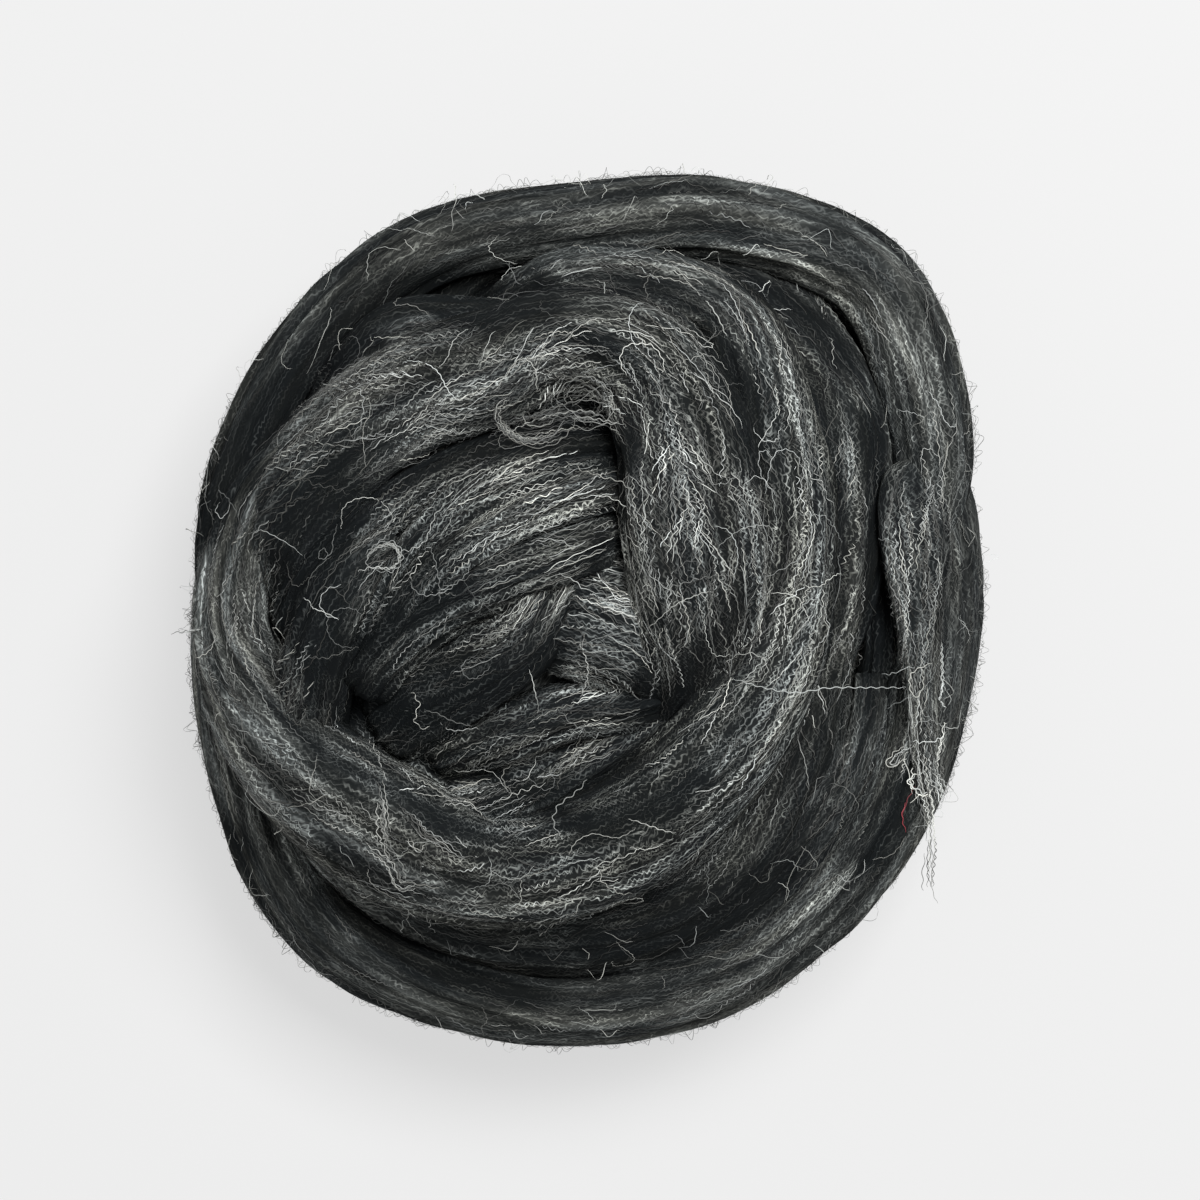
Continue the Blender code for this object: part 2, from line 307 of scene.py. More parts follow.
def surface(path, share, angle, lift=0.0):
    """Points on a path's surface, and the way out of it there."""
    across, out = sample(path.across, share), sample(path.out, share)
    half_width, half_thick = sample(path.width, share) / 2, sample(path.thick, share) / 2
    depth = RIDGE_TOTAL * MM * np.minimum(1, half_thick / THIN_TURN)
    taper = end_taper(share)
    raised = relief(path, share, angle) * depth + lift
    turned = angle + roll(path, share)
    cos, sin = np.cos(turned), np.sin(turned)
    normal = unit(across * (cos * half_thick)[..., None] + out * (sin * half_width)[..., None])
    flat = across * (cos * half_width * taper)[..., None] + out * (sin * half_thick * taper)[..., None]
    return sample(path.place, share) + flat + normal * (raised * taper)[..., None], normal


print("ridges stand out by up to", round(RIDGE_TOTAL, 2), "mm")

# %% [markdown]
# ## Where the pale wool lies, and painted shade and light
# The roving is a blend of dark and pale wool, and the two aren't mixed evenly: pale streaks run along
# some strands. The chart also holds painted shade: in creases, hollows and shaded flanks, a streak
# below 0 takes pale hairs away, and a few streaks above 0 are painted light on lit ridges and edges.
# The table below charts the streaks in the plan, by their middle lines and half widths in millimetres.
# A strength above 0 adds pale hairs, and one below 0 takes them away. The flanks and the underside
# keep an even blend.
#
# The photograph is sharp only at the top of the ball. Lower down its hairs melt into soft streaks, so
# each point also gets a softness, which the fibres and the material use to draw fainter hairs.

# %% The chart of pale streaks, painted shade and painted light
Streak = namedtuple("Streak", "name strength width line")
# Most streaks below 0 are painted shade in creases and hollows, and some above 0 are painted light.
PALE_STREAKS_AND_PAINTED_SHADE = (
    Streak("back edge", 1.3, 3.4, ((32, 80), (45, 78), (59, 69), (70, 59), (77, 47), (79, 33), (75, 11))),
    Streak("back top", 0.25, 5, ((-32, 80), (-5, 83), (21, 89), (48, 85))),
    Streak("middle outer edge", 1.1, 2.8, ((-5, 74), (12, 78), (28, 74), (39, 63), (44, 49), (49, 33),
                                           (51, 18), (50, 2))),
    Streak("middle right", 0.95, 4.5, ((50, 2), (48, -15), (44, -25), (37, -34), (26, -42))),
    Streak("middle right inner", 0.2, 4, ((41, 5), (39, -11), (30, -22), (21, -32))),
    Streak("middle front inner", 0.4, 3, ((-37, -33), (-25, -39), (-12, -48), (4, -53), (15, -49))),
    Streak("middle front", 0.75, 3.2, ((-25, -53), (-12, -57), (4, -59), (15, -56), (26, -46))),
    Streak("middle front outer", 1.3, 3.2, ((-61, -57), (-51, -62), (-40, -65), (-18, -66), (-5, -65))),
    Streak("middle left outer", 1.8, 3.2, ((-83, 0), (-82, -20), (-79, -33), (-71, -45), (-60, -56))),
    Streak("middle left", 1.15, 2.6, ((-75, -6), (-70, -23), (-65, -33), (-54, -44), (-43, -55), (-34, -59))),
    Streak("middle left inner", 1, 2.4, ((-72, 11), (-68, -4), (-60, -20), (-51, -33), (-45, -39))),
    Streak("upper left", 0.9, 3.6, ((-81, 5), (-77, 20), (-71, 33), (-62, 43), (-51, 51), (-40, 54))),
    Streak("upper left inner", 0.8, 2.2, ((-62, 29), (-58, 38), (-51, 45), (-42, 52))),
    Streak("fold", 0.9, 2, ((-52, 56), (-45, 63), (-35, 65))),
    Streak("arch", 1.0, 3.4, ((-39, 37), (-33, 44), (-25, 52), (-18, 56), (-5, 60))),
    Streak("arch top", 0.4, 3, ((-7, 63), (4, 64), (15, 61), (23, 55))),
    Streak("right strands", 0.75, 2.8, ((14, 43), (19, 36), (23, 27), (26, 17))),
    Streak("right strands outer", 0.2, 2.2, ((31, 46), (34, 38), (37, 26))),
    Streak("bun back", 0.6, 3.4, ((-19, 27), (-13, 31), (-5, 32))),
    Streak("bun right", 1.0, 3.8, ((-23, 20), (-10, 22), (4, 26))),
    Streak("bun left", 0.25, 4, ((-56, 8), (-40, 18), (-27, 25))),
    Streak("bun front", 0.35, 3, ((-18, -2), (-7, 5), (2, 14))),
    Streak("roll", 1.2, 4.5, ((-1, 5), (6, 0), (11, -6))),
    Streak("lower strands", 0.8, 2, ((-34, -29), (-18, -29), (-5, -27), (9, -24))),
    Streak("outer right", 1.3, 3.4, ((55, -59), (46, -70), (34, -79), (23, -86))),
    Streak("outer front", 0.7, 3, ((-55, -71), (-40, -82), (-23, -90), (-1, -92), (21, -90))),
    Streak("crease behind", -1.0, 4.2, ((-82, 15), (-76, 33), (-62, 51), (-53, 60), (-38, 71), (-23, 69))),
    Streak("crease under the edge", -0.6, 2, ((-1, 71), (17, 71), (26, 66), (31, 57), (35, 45))),
    Streak("crease at the back", -0.4, 2.6, ((33, 74), (44, 67), (53, 56), (55, 47))),
    Streak("crease right", -0.5, 2.4, ((63, 42), (64, 25), (64, 11), (63, -6))),
    Streak("bun pocket", -0.95, 3.8, ((-56, 25), (-62, 11), (-68, 1), (-61, -10), (-51, -17), (-39, -24))),
    Streak("bun crease", -0.9, 3, ((-57, 16), (-48, 25), (-34, 33), (-18, 37), (4, 37))),
    Streak("roll crease", -1.1, 2, ((5, 15), (-2, 0), (-6, -11), (-23, -20), (-35, -28))),
    Streak("strand ends", -0.8, 2.2, ((10, -20), (16, -22), (23, -17))),
    Streak("crease in front", -0.6, 1.8, ((-33, -35), (-18, -36), (-7, -44), (4, -49))),
    Streak("front shade", -0.6, 5.5, ((-73, -51), (-62, -62), (-47, -71), (-25, -77), (-5, -77),
                                      (12, -73), (30, -65), (43, -59))),
    Streak("lower right shade", -0.35, 5.5, ((54, -17), (52, -37), (43, -57), (32, -65), (19, -71))),
    Streak("bun end", -1, 2.2, ((11, 45), (10, 38), (8, 29), (6, 22))),
    Streak("inner end shade", -1.3, 2.6, ((34, 3), (27, -9), (22, -17), (15, -22))),
    Streak("upper left shade", -0.75, 3.2, ((-53, 35), (-63, 27), (-69, 16), (-66, 4))),
    Streak("back crease strands", 0.3, 2.4, ((-21, 78), (-10, 81), (4, 82))),
    Streak("upper left crease", -1.6, 3.6, ((-76, 29), (-72, 38), (-65, 47), (-57, 55), (-48, 60))),
    Streak("back of the arch", -1.6, 4.2, ((-40, 69), (-29, 68), (-20, 64), (-8, 70))),
    Streak("arch crease", -0.4, 3, ((-6, 61), (5, 59))),
    Streak("bun left shade", -0.9, 5, ((-57, 25), (-55, 11), (-58, -2), (-58, -13))),
    Streak("bun strand crease", -0.8, 2, ((-54, -11), (-43, -5), (-32, 2), (-24, 8))),
    Streak("bun lower crease", -1.2, 2.4, ((-36, -24), (-25, -19), (-15, -14), (-8, -9))),
    Streak("lower strands shade", -0.7, 3.6, ((-40, -30), (-25, -29), (-7, -26))),
    Streak("front inner shade", -1, 3.6, ((0, -50), (8, -48), (18, -43), (26, -37))),
    Streak("right strand crease", -0.75, 2.2, ((30, 56), (36, 49), (38, 39), (39, 29))),
    Streak("back inner crease", -0.9, 2.6, ((32, 75), (42, 70), (52, 63), (58, 55))),
    Streak("right band edge", 0.55, 1.8, ((59, 35), (60, 20), (60, 5), (58, -10))),
    Streak("outer right shade", -0.7, 3, ((71, -34), (68, -46), (63, -55))),
    Streak("middle inner edge right", 0.6, 2, ((26, -24), (32, -15), (38, -5), (40, 4))),
    Streak("middle inner edge left", 0.7, 2, ((-51, -28), (-41, -33), (-28, -42))),
    Streak("pocket edge", 0.8, 2.2, ((-78, 11), (-75, 5), (-69, -3), (-65, -9))),
    Streak("left edge", 1.6, 3, ((-83, 2), (-82, -15), (-79, -31), (-75, -42))),
    Streak("arch over", 0.15, 2, ((5, 72), (15, 73), (26, 69), (32, 60))),
    Streak("front crease strands", 0.4, 3, ((-69, -57), (-56, -68), (-36, -76), (-14, -79), (12, -78))),
    Streak("bun right low", 0.7, 2.4, ((4, 21), (-8, 19), (-21, 14), (-34, 8))),
    Streak("bun low end", 0.3, 2.2, ((-8, 8), (-13, 2), (-17, -3))),
    Streak("roll foot", 0.7, 2.6, ((-6, -12), (1, -15), (7, -17))),
    Streak("pocket shade", -1.4, 5, ((-63, -5), (-59, -13), (-57, -18), (-55, -23))),
    Streak("curl hollow", -1.2, 2.4, ((-18, 40), (-7, 38), (4, 39))),
    Streak("hollow hairs", 0.9, 2.6, ((-7, 47), (-1, 46), (4, 45))),
    Streak("bun middle crease", -0.7, 2.4, ((-32, -24), (-25, -17), (-18, -12))),
    Streak("roll back", -0.9, 1.8, ((3, 16), (-1, 8), (-3, 2))),
    Streak("roll side", -0.8, 2.2, ((15, -1), (14, -10), (12, -17))),
    Streak("roll top", 0.7, 2.2, ((-3, -1), (1, 0), (6, 11))),
    Streak("middle front crease", -0.6, 2.4, ((-25, -53), (-14, -57), (-1, -57))),
    Streak("middle left crease", -0.6, 2.2, ((-61, -34), (-54, -39), (-47, -43))),
    Streak("middle left crease low", -0.7, 2.2, ((-58, -51), (-51, -55), (-46, -57))),
    Streak("middle lower right", -0.4, 3, ((23, -43), (34, -38), (45, -31))),
    Streak("outer front shade", -0.7, 3.6, ((-47, -76), (-36, -81), (-23, -83), (-10, -86))),
    Streak("outer front shade right", -0.4, 4, ((4, -77), (17, -73), (30, -67))),
    Streak("outer front edge shade", -0.4, 3, ((6, -84), (17, -83), (26, -82))),
    Streak("outer left low", 1.1, 4, ((-78, -17), (-76, -31), (-71, -44), (-65, -53))),
    Streak("gap side", -1, 2.4, ((63, 42), (64, 31), (65, 20), (64, 9), (63, 0))),
    Streak("right band crease", -0.8, 2.2, ((56, 29), (57, 16), (56, -2))),
    Streak("right strands shade", -0.5, 3, ((26, 27), (29, 18), (30, 9))),
    Streak("outer upper left", -0.15, 5, ((-81, 20), (-77, 34), (-70, 50), (-60, 64), (-47, 77))),
    Streak("right strands low", 0.7, 2.5, ((31, 11), (33, 2), (29, -6))),
    Streak("gap lower end", 0.5, 3, ((68, -18), (67, -27), (64, -37))),
    Streak("inner strands crease", -1.1, 2.2, ((27, 61), (31, 52), (34, 42), (36, 32))),
    Streak("outer left edge", 1.1, 3, ((-84, 11), (-84, -6), (-82, -20), (-79, -35))),
    Streak("arch low", -0.9, 3, ((-10, 64), (-2, 62), (4, 58))),
    Streak("bun strand crease left", -0.6, 3, ((-50, -9), (-45, -7))),
    Streak("filler shade", -0.6, 3, ((-10, -42), (1, -38), (11, -32))),
    Streak("middle front crease left", -0.5, 3, ((-35, -45), (-23, -50), (-10, -54))),
    Streak("gap low shade", -0.6, 2, ((63, -10), (63, -22))),
    Streak("outer right end shade", -0.4, 3, ((63, -55), (56, -65))),
    Streak("back inner strands", 0.4, 3, ((48, 77), (59, 69), (65, 58), (69, 42))),
    Streak("front crease edge", 0.1, 3, ((-75, -46), (-65, -54), (-54, -60))),
    Streak("front low shade", -0.1, 3, ((12, -62), (21, -59))),
    Streak("inner side", 0.9, 2, ((8, 15), (8, 7))),
    Streak("inner edge strands", 0.2, 2.2, ((10, 31), (12, 20), (12, 7))),
    Streak("gap floor", -0.7, 2.6, ((66, 2), (66, -9))),
    Streak("front outer edge", 0.8, 2.4, ((-64, -50), (-58, -56), (-50, -60))),
    Streak("left side", 0.4, 8, ((-78, 5), (-76, -15), (-70, -30))),
    Streak("loose end", 1, 3.8, ((69, 20), (69, 7), (71, -6), (73, -20), (75, -33))),
)
EYE = np.array((3.64, 2.5, 800)) * MM
CHART_LEVEL = 75 * MM
FLANK_LEVELS = (22 * MM, 45 * MM)
FOCUS_LEVELS = (44 * MM, 80 * MM)
FOCUS_PLACE = (12, -2)
FOCUS_REACH = (55, 98)
EVEN_BLEND = 0.56
FLANK_BLEND = 0.75
PALENESS_AND_SHADE_RANGE = (0.04, 2.6)
GROOVE_SHADE_HAIRS = 0.42
RIDGE_STEEPNESS = 1.5
RIDGE_START = 0.1
CREST_RANGE = (0.1, 1.2)


def plan_place(points):
    """Where an eye over the ball sees points in the plan, all brought to the chart's level, in mm."""
    nearness = (EYE[2] - CHART_LEVEL) / (EYE[2] - points[..., 2:])
    return (EYE[:2] + (points[..., :2] - EYE[:2]) * nearness) / MM


def paleness_and_painted_shade(points):
    """How many pale hairs there are at points of the ball, with painted shade in creases and painted light.
    """
    place = plan_place(points)
    total = np.full(place.shape[:-1], EVEN_BLEND)
    for streak in PALE_STREAKS_AND_PAINTED_SHADE:
        line = np.array(streak.line, float)
        nearest = np.full(total.shape, np.inf)
        for start, step in zip(line, np.diff(line, axis=0)):
            at = np.clip((place - start) @ step / (step @ step), 0, 1)
            nearest = np.minimum(nearest, np.linalg.norm(place - start - at[..., None] * step, axis=-1))
        total += streak.strength * np.exp(-(nearest / streak.width)**2)
    low, high = FLANK_LEVELS
    charted = np.clip((points[..., 2] - low) / (high - low), 0, 1)
    return FLANK_BLEND + (np.clip(total, *PALENESS_AND_SHADE_RANGE) - FLANK_BLEND) * charted


def softness(points):
    """How far out of the camera's focus points are: 0 on top of the ball, and 1 low on it or far out."""
    far, near = FOCUS_LEVELS
    low = (near - points[..., 2]) / (near - far)
    inside, outside = FOCUS_REACH
    away = np.linalg.norm(plan_place(points) - FOCUS_PLACE, axis=-1)
    return np.clip(np.maximum(low, (away - inside) / (outside - inside)), 0, 1)


def ridge_light_and_groove_shade(raised):
    """How many hairs show at a height of the relief: few in the grooves, as painted shade, and most on the
    ridges.
    """
    return np.clip(GROOVE_SHADE_HAIRS + RIDGE_STEEPNESS * (RIDGE_START + raised / 2), *CREST_RANGE)


print(len(PALE_STREAKS_AND_PAINTED_SHADE), "streaks in the chart")

# %% [markdown]
# ## A tube for each turn
# Every tube starts as a cylinder whose sides are cut into many rings. Then each vertex is moved to
# the surface point that its height and angle stand for. The tube's UV map holds real lengths, so a
# pattern on it has the same size on a wide turn and on a narrow one: U runs along the roving and V
# round it, both in metres.

# %% From a mesh to an object
def mesh_of(bm, name):
    """Ends the work on a mesh, and gives it a name."""
    mesh = bpy.data.meshes.new(name)
    bm.to_mesh(mesh)
    bm.free()
    return mesh


def placed(name, data):
    """A new object of a mesh, a light or a camera, put into the scene."""
    made = bpy.data.objects.new(name, data)
    bpy.context.scene.collection.objects.link(made)
    return made


def wool_piece(name, mesh):
    """An object of wool, tied to the ball."""
    piece = placed(name, mesh)
    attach(piece, "root")
    return piece


def triangles(piece):
    """How many triangles a piece has, with each bigger face cut into triangles."""
    return sum(len(face.vertices) - 2 for face in piece.data.polygons)


# %% Sleeves and their UV maps
WOOL_SIDES = 52
SECTION_PITCH = 2.6 * MM


def sleeve(sides, sections):
    """A closed unit tube along Z, with that many sides and sections."""
    tube = bmesh.new()
    bmesh.ops.create_cone(
        tube, cap_ends=True, segments=sides, radius1=1, radius2=1, depth=1,
        matrix=Matrix.Translation((0, 0, 0.5)),
    )
    upright = [e for e in tube.edges if abs(e.verts[0].co.z - e.verts[1].co.z) > 0.5]
    bmesh.ops.subdivide_edges(tube, edges=upright, cuts=sections - 2, use_grid_fill=True)
    return tube


def map_lengths(tube, length, girth):
    """Gives a sleeve a UV map in metres: U along it and V round it, with a seam at angle pi."""
    uv = tube.loops.layers.uv.new("lengths")
    for face in tube.faces:
        turns = [math.atan2(loop.vert.co.y, loop.vert.co.x) / math.tau % 1 for loop in face.loops]
        over_seam = max(turns) - min(turns) > 0.5 and len(turns) == 4
        for loop, turn in zip(face.loops, turns):
            if over_seam and turn < 0.5:
                turn += 1
            loop[uv].uv = (loop.vert.co.z * length, turn * girth)


def lay_sleeve(bm, path, sides, sections):
    """Adds a sleeve to a mesh, laid on a path's surface."""
    tube = sleeve(sides, sections)
    girth = math.pi * float(path.width.mean() + path.thick.mean()) / 2
    map_lengths(tube, path.length, girth)
    corners = np.array([vert.co for vert in tube.verts])
    angles = np.arctan2(corners[:, 1], corners[:, 0])
    laid, _ = surface(path, corners[:, 2], angles)
    # The pale blend, with painted shade in creases and grooves and painted light on ridges.
    pale_and_painted_shade = paleness_and_painted_shade(laid) * ridge_light_and_groove_shade(relief(path, corners[:, 2], angles))
    pale, soft = (tube.verts.layers.float.new(name) for name in ("pale", "soft"))
    for vert, point, share, softened in zip(tube.verts, laid, pale_and_painted_shade, softness(laid)):
        vert.co = point
        vert[pale] = share
        vert[soft] = softened
    mesh = mesh_of(tube, "sleeve")
    bm.from_mesh(mesh)
    bpy.data.meshes.remove(mesh)


# %% Lay the turns
PARTS = ("underside", "outside", "middle", "bun", "inner")
wool_pieces = {}
for part in PARTS:
    bm = bmesh.new()
    for turn in TURNS:
        if turn.part == part:
            path = paths[turn.name]
            lay_sleeve(bm, path, WOOL_SIDES, math.ceil(path.length / SECTION_PITCH))
    name = "wool_" + part
    wool_pieces[part] = wool_piece(name, mesh_of(bm, name))
    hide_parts("wound_ball")
    wool_pieces[part].data.shade_smooth()
    print(part, triangles(wool_pieces[part]), "triangles")

# %% [markdown]
# ## The table flattens the underside
# The lowest turns are pressed flat by the ball's own weight. Every vertex that would be below the
# table is lifted onto it, which is what the table does to soft wool.

# %% Rest on the table
TABLE_GAP = 0.1 * MM


def press_flat(piece):
    """Lifts what is below the table onto it."""
    for vert in piece.data.vertices:
        vert.co.z = max(vert.co.z, TABLE_GAP)


for piece in wool_pieces.values():
    press_flat(piece)
print("the lowest wool is", round(TABLE_GAP / MM, 2), "mm over the table")

# %% [markdown]
# ## The heart
# Between the turns one looks into the ball. What is there is more of the same roving, in the dark.
# An egg-shaped heart closes the gaps, and it is the same size as in the solids.

# %% The heart of the ball
HEART_HALF = (60 * MM, 67 * MM, 46 * MM)
HEART_MIDDLE = 43 * MM
# Fewer pale hairs than the even blend: painted shade on the inside of the ball.
HEART_PALENESS_IN_SHADE = 0.4

bm = bmesh.new()
bmesh.ops.create_icosphere(
    bm, subdivisions=5, radius=1,
    matrix=Matrix.Translation((0, 0, HEART_MIDDLE)) @ Matrix.Diagonal((*HEART_HALF, 1)),
)
uv = bm.loops.layers.uv.new("lengths")
for face in bm.faces:
    for loop in face.loops:
        co = loop.vert.co
        loop[uv].uv = (math.atan2(co.y, co.x) * HEART_HALF[0], co.z)
pale, soft = (bm.verts.layers.float.new(name) for name in ("pale", "soft"))
for vert in bm.verts:
    vert[pale] = HEART_PALENESS_IN_SHADE
    vert[soft] = 1
heart = wool_piece("wool_heart", mesh_of(bm, "wool_heart"))
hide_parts("wound_ball")
heart.data.shade_smooth()
press_flat(heart)
print("heart", triangles(heart), "triangles")

# %% [markdown]
# ## The loose end
# The last stretch of roving leaves the back turn, lies down the right flank and thins to a ragged
# tip, because roving is torn off and not cut.

# %% The loose end
END_SIDES, END_SECTIONS = 28, 60

bm = bmesh.new()
lay_sleeve(bm, paths["loose_end"], END_SIDES, END_SECTIONS)
loose_end = wool_piece("wool_loose_end", mesh_of(bm, "wool_loose_end"))
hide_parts("loose_end")
loose_end.data.shade_smooth()
print("loose end", triangles(loose_end), "triangles")

# %% [markdown]
# ## Fibres
# A fibre is drawn as a narrow ribbon on the surface of its turn. One plain strip is repeated by an
# Array modifier, and then every strip's vertices are moved to where that fibre runs. That is far
# quicker than making each fibre by itself.

# %% A mesh of strips
STRIP_FACES = 36
NEAR_TIP = 0.02
BLUNT_TAPER = 0.35


def strips(count, faces):
    """A mesh of equal strips, made with an Array modifier. Strip number n lies at a height of n."""
    bm = bmesh.new()
    bmesh.ops.create_grid(bm, x_segments=faces, y_segments=1, size=0.5)
    made = placed("strips", mesh_of(bm, "strips"))
    array = made.modifiers.new("Repeat", "ARRAY")
    array.count = count
    array.use_relative_offset = False
    array.use_constant_offset = True
    array.constant_offset_displace = (0, 0, 1)
    graph = bpy.context.evaluated_depsgraph_get()
    graph.update()
    repeated = bpy.data.meshes.new_from_object(made.evaluated_get(graph))
    bpy.data.objects.remove(made)
    return repeated


def widen(points, normals, widths):
    """The two edges of a ribbon along each row of points, flat to the surface."""
    side = unit(np.cross(normals, unit(np.gradient(points, axis=1))))
    taper = np.sin(math.pi * np.linspace(NEAR_TIP, 1 - NEAR_TIP, points.shape[1]))**BLUNT_TAPER
    half = widths[:, None, None] / 2 * taper[None, :, None]
    return points - side * half, points + side * half


def fibre_piece(name, points, normals, widths, shades):
    """A piece of ribbons, one along each row of points. A UV map holds each one's shade and tint."""
    faces = points.shape[1] - 1
    mesh = strips(len(points), faces)
    mesh.name = name
    corners = np.empty(len(mesh.vertices) * 3)
    mesh.vertices.foreach_get("co", corners)
    corners = corners.reshape(-1, 3)
    row = np.round(corners[:, 2]).astype(int)
    step = np.round((corners[:, 0] + 0.5) * faces).astype(int)
    low, high = widen(points, normals, widths)
    laid = np.where((corners[:, 1] < 0)[:, None], low[row, step], high[row, step])
    laid[:, 2] = np.maximum(laid[:, 2], TABLE_GAP)
    mesh.vertices.foreach_set("co", laid.ravel())
    loops = np.empty(len(mesh.loops), int)
    mesh.loops.foreach_get("vertex_index", loops)
    uv = mesh.uv_layers.new(name="shade")
    tints = np.random.default_rng(len(shades)).uniform(0, 1, len(shades))
    uv.data.foreach_set("uv", np.column_stack([shades, tints])[row[loops]].ravel())
    return wool_piece(name, mesh)


# %% [markdown]
# ### How a combed fibre runs
# Each fibre has a start, a length and a strand that it follows, and it drifts a little across its
# strand. Crimp adds a wave with a length of about two millimetres, partly sideways and partly up and
# down. The ends dive into the wool. Most fibres follow the tops of the ridges and few are seen in the
# grooves, which paints shade into the grooves.
#
# On the sheep, wool grows in staples: small locks whose fibres share one crimp. Combing doesn't part
# them fully, so the fibres here are drawn in staples of a few that run and wave nearly alike.
#
# More fibres are drawn than are wanted. Each is then kept or dropped by chance, so that most of the
# kept ones lie on ridges and in pale streaks, and few in grooves and creases, as painted shade.

# %% Chance fibres on a turn
Drawn = namedtuple("Drawn", "start length angle drift crimp crimp_length lift width shade phase")
STAPLE = 4
STAPLE_LENGTH = 3 * MM
STAPLE_WIDTH = 0.55 * MM
CRIMP_LENGTH = 1.9 * MM
CRIMP_SIDE = 0.23 * MM
CRIMP_RISE = 0.2 * MM
FIBRE_WIDTH = 0.15 * MM
FIBRE_LENGTHS = (6 * MM, 13.5 * MM)
SPREAD = math.radians(112)

# So many are drawn for each one that is asked for, and a spot liked this much keeps all of its own.
DRAWN_FOR_ONE = 8
MOST_LIKING = 1.8

# What a staple shares, what sets its fibres apart, and how paleness with painted shade, and softness, act on
# a fibre.
DRIFT_TOGETHER, DRIFT_APART = 0.3, 0.2
CRIMP_STRENGTHS = (0.5, 1.25)
STAPLE_CRIMPS, FIBRE_CRIMPS = (0.8, 1.45), (0.9, 1.15)
LIFT_MEAN_MM, LIFT_MOST_MM = 0.22, 1.6
WIDTHS = (0.6, 1.15)
SOFT_WIDENING, SOFT_DIMMING = 0.4, 0.55
DARK_SHADES = 1.4
SHADE_START, SHADE_RISE, SHADE_MOST = 0.28, 0.78, 1.05
PHASE_SPREAD = 0.7


def section_radius(path):
    """The mean radius of a path's flattened bundle."""
    return (path.width.mean() + path.thick.mean()) / 4


def draw_fibres(random, path, count):
    """Chance fibres on a path: one value each of everything that shapes a fibre."""
    staples = DRAWN_FOR_ONE * count // STAPLE
    size = staples * STAPLE

    def shared(low, high):
        return np.repeat(random.uniform(low, high, staples), STAPLE)

    length = random.uniform(*FIBRE_LENGTHS, size)
    latest = 1 - length / path.length
    start = shared(0, 1) * latest + random.normal(0, STAPLE_LENGTH / path.length, size)
    start = np.clip(start, 0, latest)
    angle = math.pi / 2 + shared(-SPREAD, SPREAD) - roll(path, start)
    angle += random.normal(0, STAPLE_WIDTH / section_radius(path), size)
    # Fewer and darker fibres in grooves and charted creases, more on ridges: painted shade and light.
    ridge_light_and_shade = ridge_light_and_groove_shade(relief(path, start, angle))
    place = surface(path, start + 0.5 * FIBRE_LENGTHS[0] / path.length, angle)[0]
    pale, soft = paleness_and_painted_shade(place), softness(place)
    brightest = np.clip(SHADE_START + SHADE_RISE * pale, 0, SHADE_MOST)
    drawn = Drawn(
        start=start,
        length=length,
        angle=angle,
        drift=shared(-DRIFT_TOGETHER, DRIFT_TOGETHER) + random.normal(0, DRIFT_APART, size),
        crimp=random.uniform(*CRIMP_STRENGTHS, size),
        crimp_length=CRIMP_LENGTH * shared(*STAPLE_CRIMPS) * random.uniform(*FIBRE_CRIMPS, size),
        lift=np.minimum(random.exponential(LIFT_MEAN_MM, size), LIFT_MOST_MM) * MM,
        width=FIBRE_WIDTH * random.uniform(*WIDTHS, size) * (1 + SOFT_WIDENING * soft),
        shade=random.uniform(0, 1, size)**DARK_SHADES * brightest * (1 - SOFT_DIMMING * soft),
        phase=np.array([shared(0, math.tau) + random.normal(0, PHASE_SPREAD, size) for _ in range(3)]),
    )
    liked = np.flatnonzero(random.uniform(0, MOST_LIKING, size) < ridge_light_and_shade * pale)[:count]
    return Drawn(*[column[..., liked] for column in drawn])


# %% From a chance fibre to its points
# Slow waves along a fibre bring its crimp early or late, strengthen it, and push it aside.
Sway = namedtuple("Sway", "amount length")
EARLY_OR_LATE = Sway(1.1, 1.9 * MM)
EARLY_OR_LATE_FINE = Sway(0.4, 0.8 * MM)
STRONG_OR_WEAK = Sway(0.4, 3.1 * MM)
LEFT_OR_RIGHT_MM = Sway(0.35, 3.5 * MM)
MEAN_STRENGTH = 0.85
END_DIVE, DIVE_SUDDENNESS = 1.0 * MM, 6
LEAST_LIFT = 0.12 * MM


def swayed(sway, gone, phase):
    """A slow wave along fibres, which makes their crimp uneven."""
    return sway.amount * np.sin(gone / sway.length + phase)


def run_fibres(path, drawn):
    """Each fibre's points along its length, and the way out of the turn at each."""
    part = np.linspace(0, 1, STRIP_FACES + 1)[None, :]
    gone = part * drawn.length[:, None]
    first, second, third = (phase[:, None] for phase in drawn.phase)
    wave = math.tau * gone / drawn.crimp_length[:, None] + first
    wave = wave + swayed(EARLY_OR_LATE, gone, second) + swayed(EARLY_OR_LATE_FINE, gone, third)
    strength = drawn.crimp[:, None] * (MEAN_STRENGTH + swayed(STRONG_OR_WEAK, gone, third))
    side = CRIMP_SIDE * strength * np.sin(wave) + swayed(LEFT_OR_RIGHT_MM, gone, second) * MM
    rise = CRIMP_RISE * strength * np.cos(wave + third)
    dive = END_DIVE * np.abs(2 * part - 1)**DIVE_SUDDENNESS
    share = drawn.start[:, None] + gone / path.length
    angle = drawn.angle[:, None] + drawn.drift[:, None] * part + side / section_radius(path)
    return surface(path, share, angle, drawn.lift[:, None] + rise - dive + LEAST_LIFT)


# %% [markdown]
# ### Only the fibres that can be seen
# Most of each turn is hidden under the next one. A ray from the fibre straight out of its turn says
# whether another turn covers it, and a covered fibre isn't made. So all of the fibres that are made
# count.

# %% Drop the covered fibres
COVER_REACH = 9 * MM
RAY_START_MM = 0.8
NEAR_END = 4
SEEN_ENOUGH = 0.4


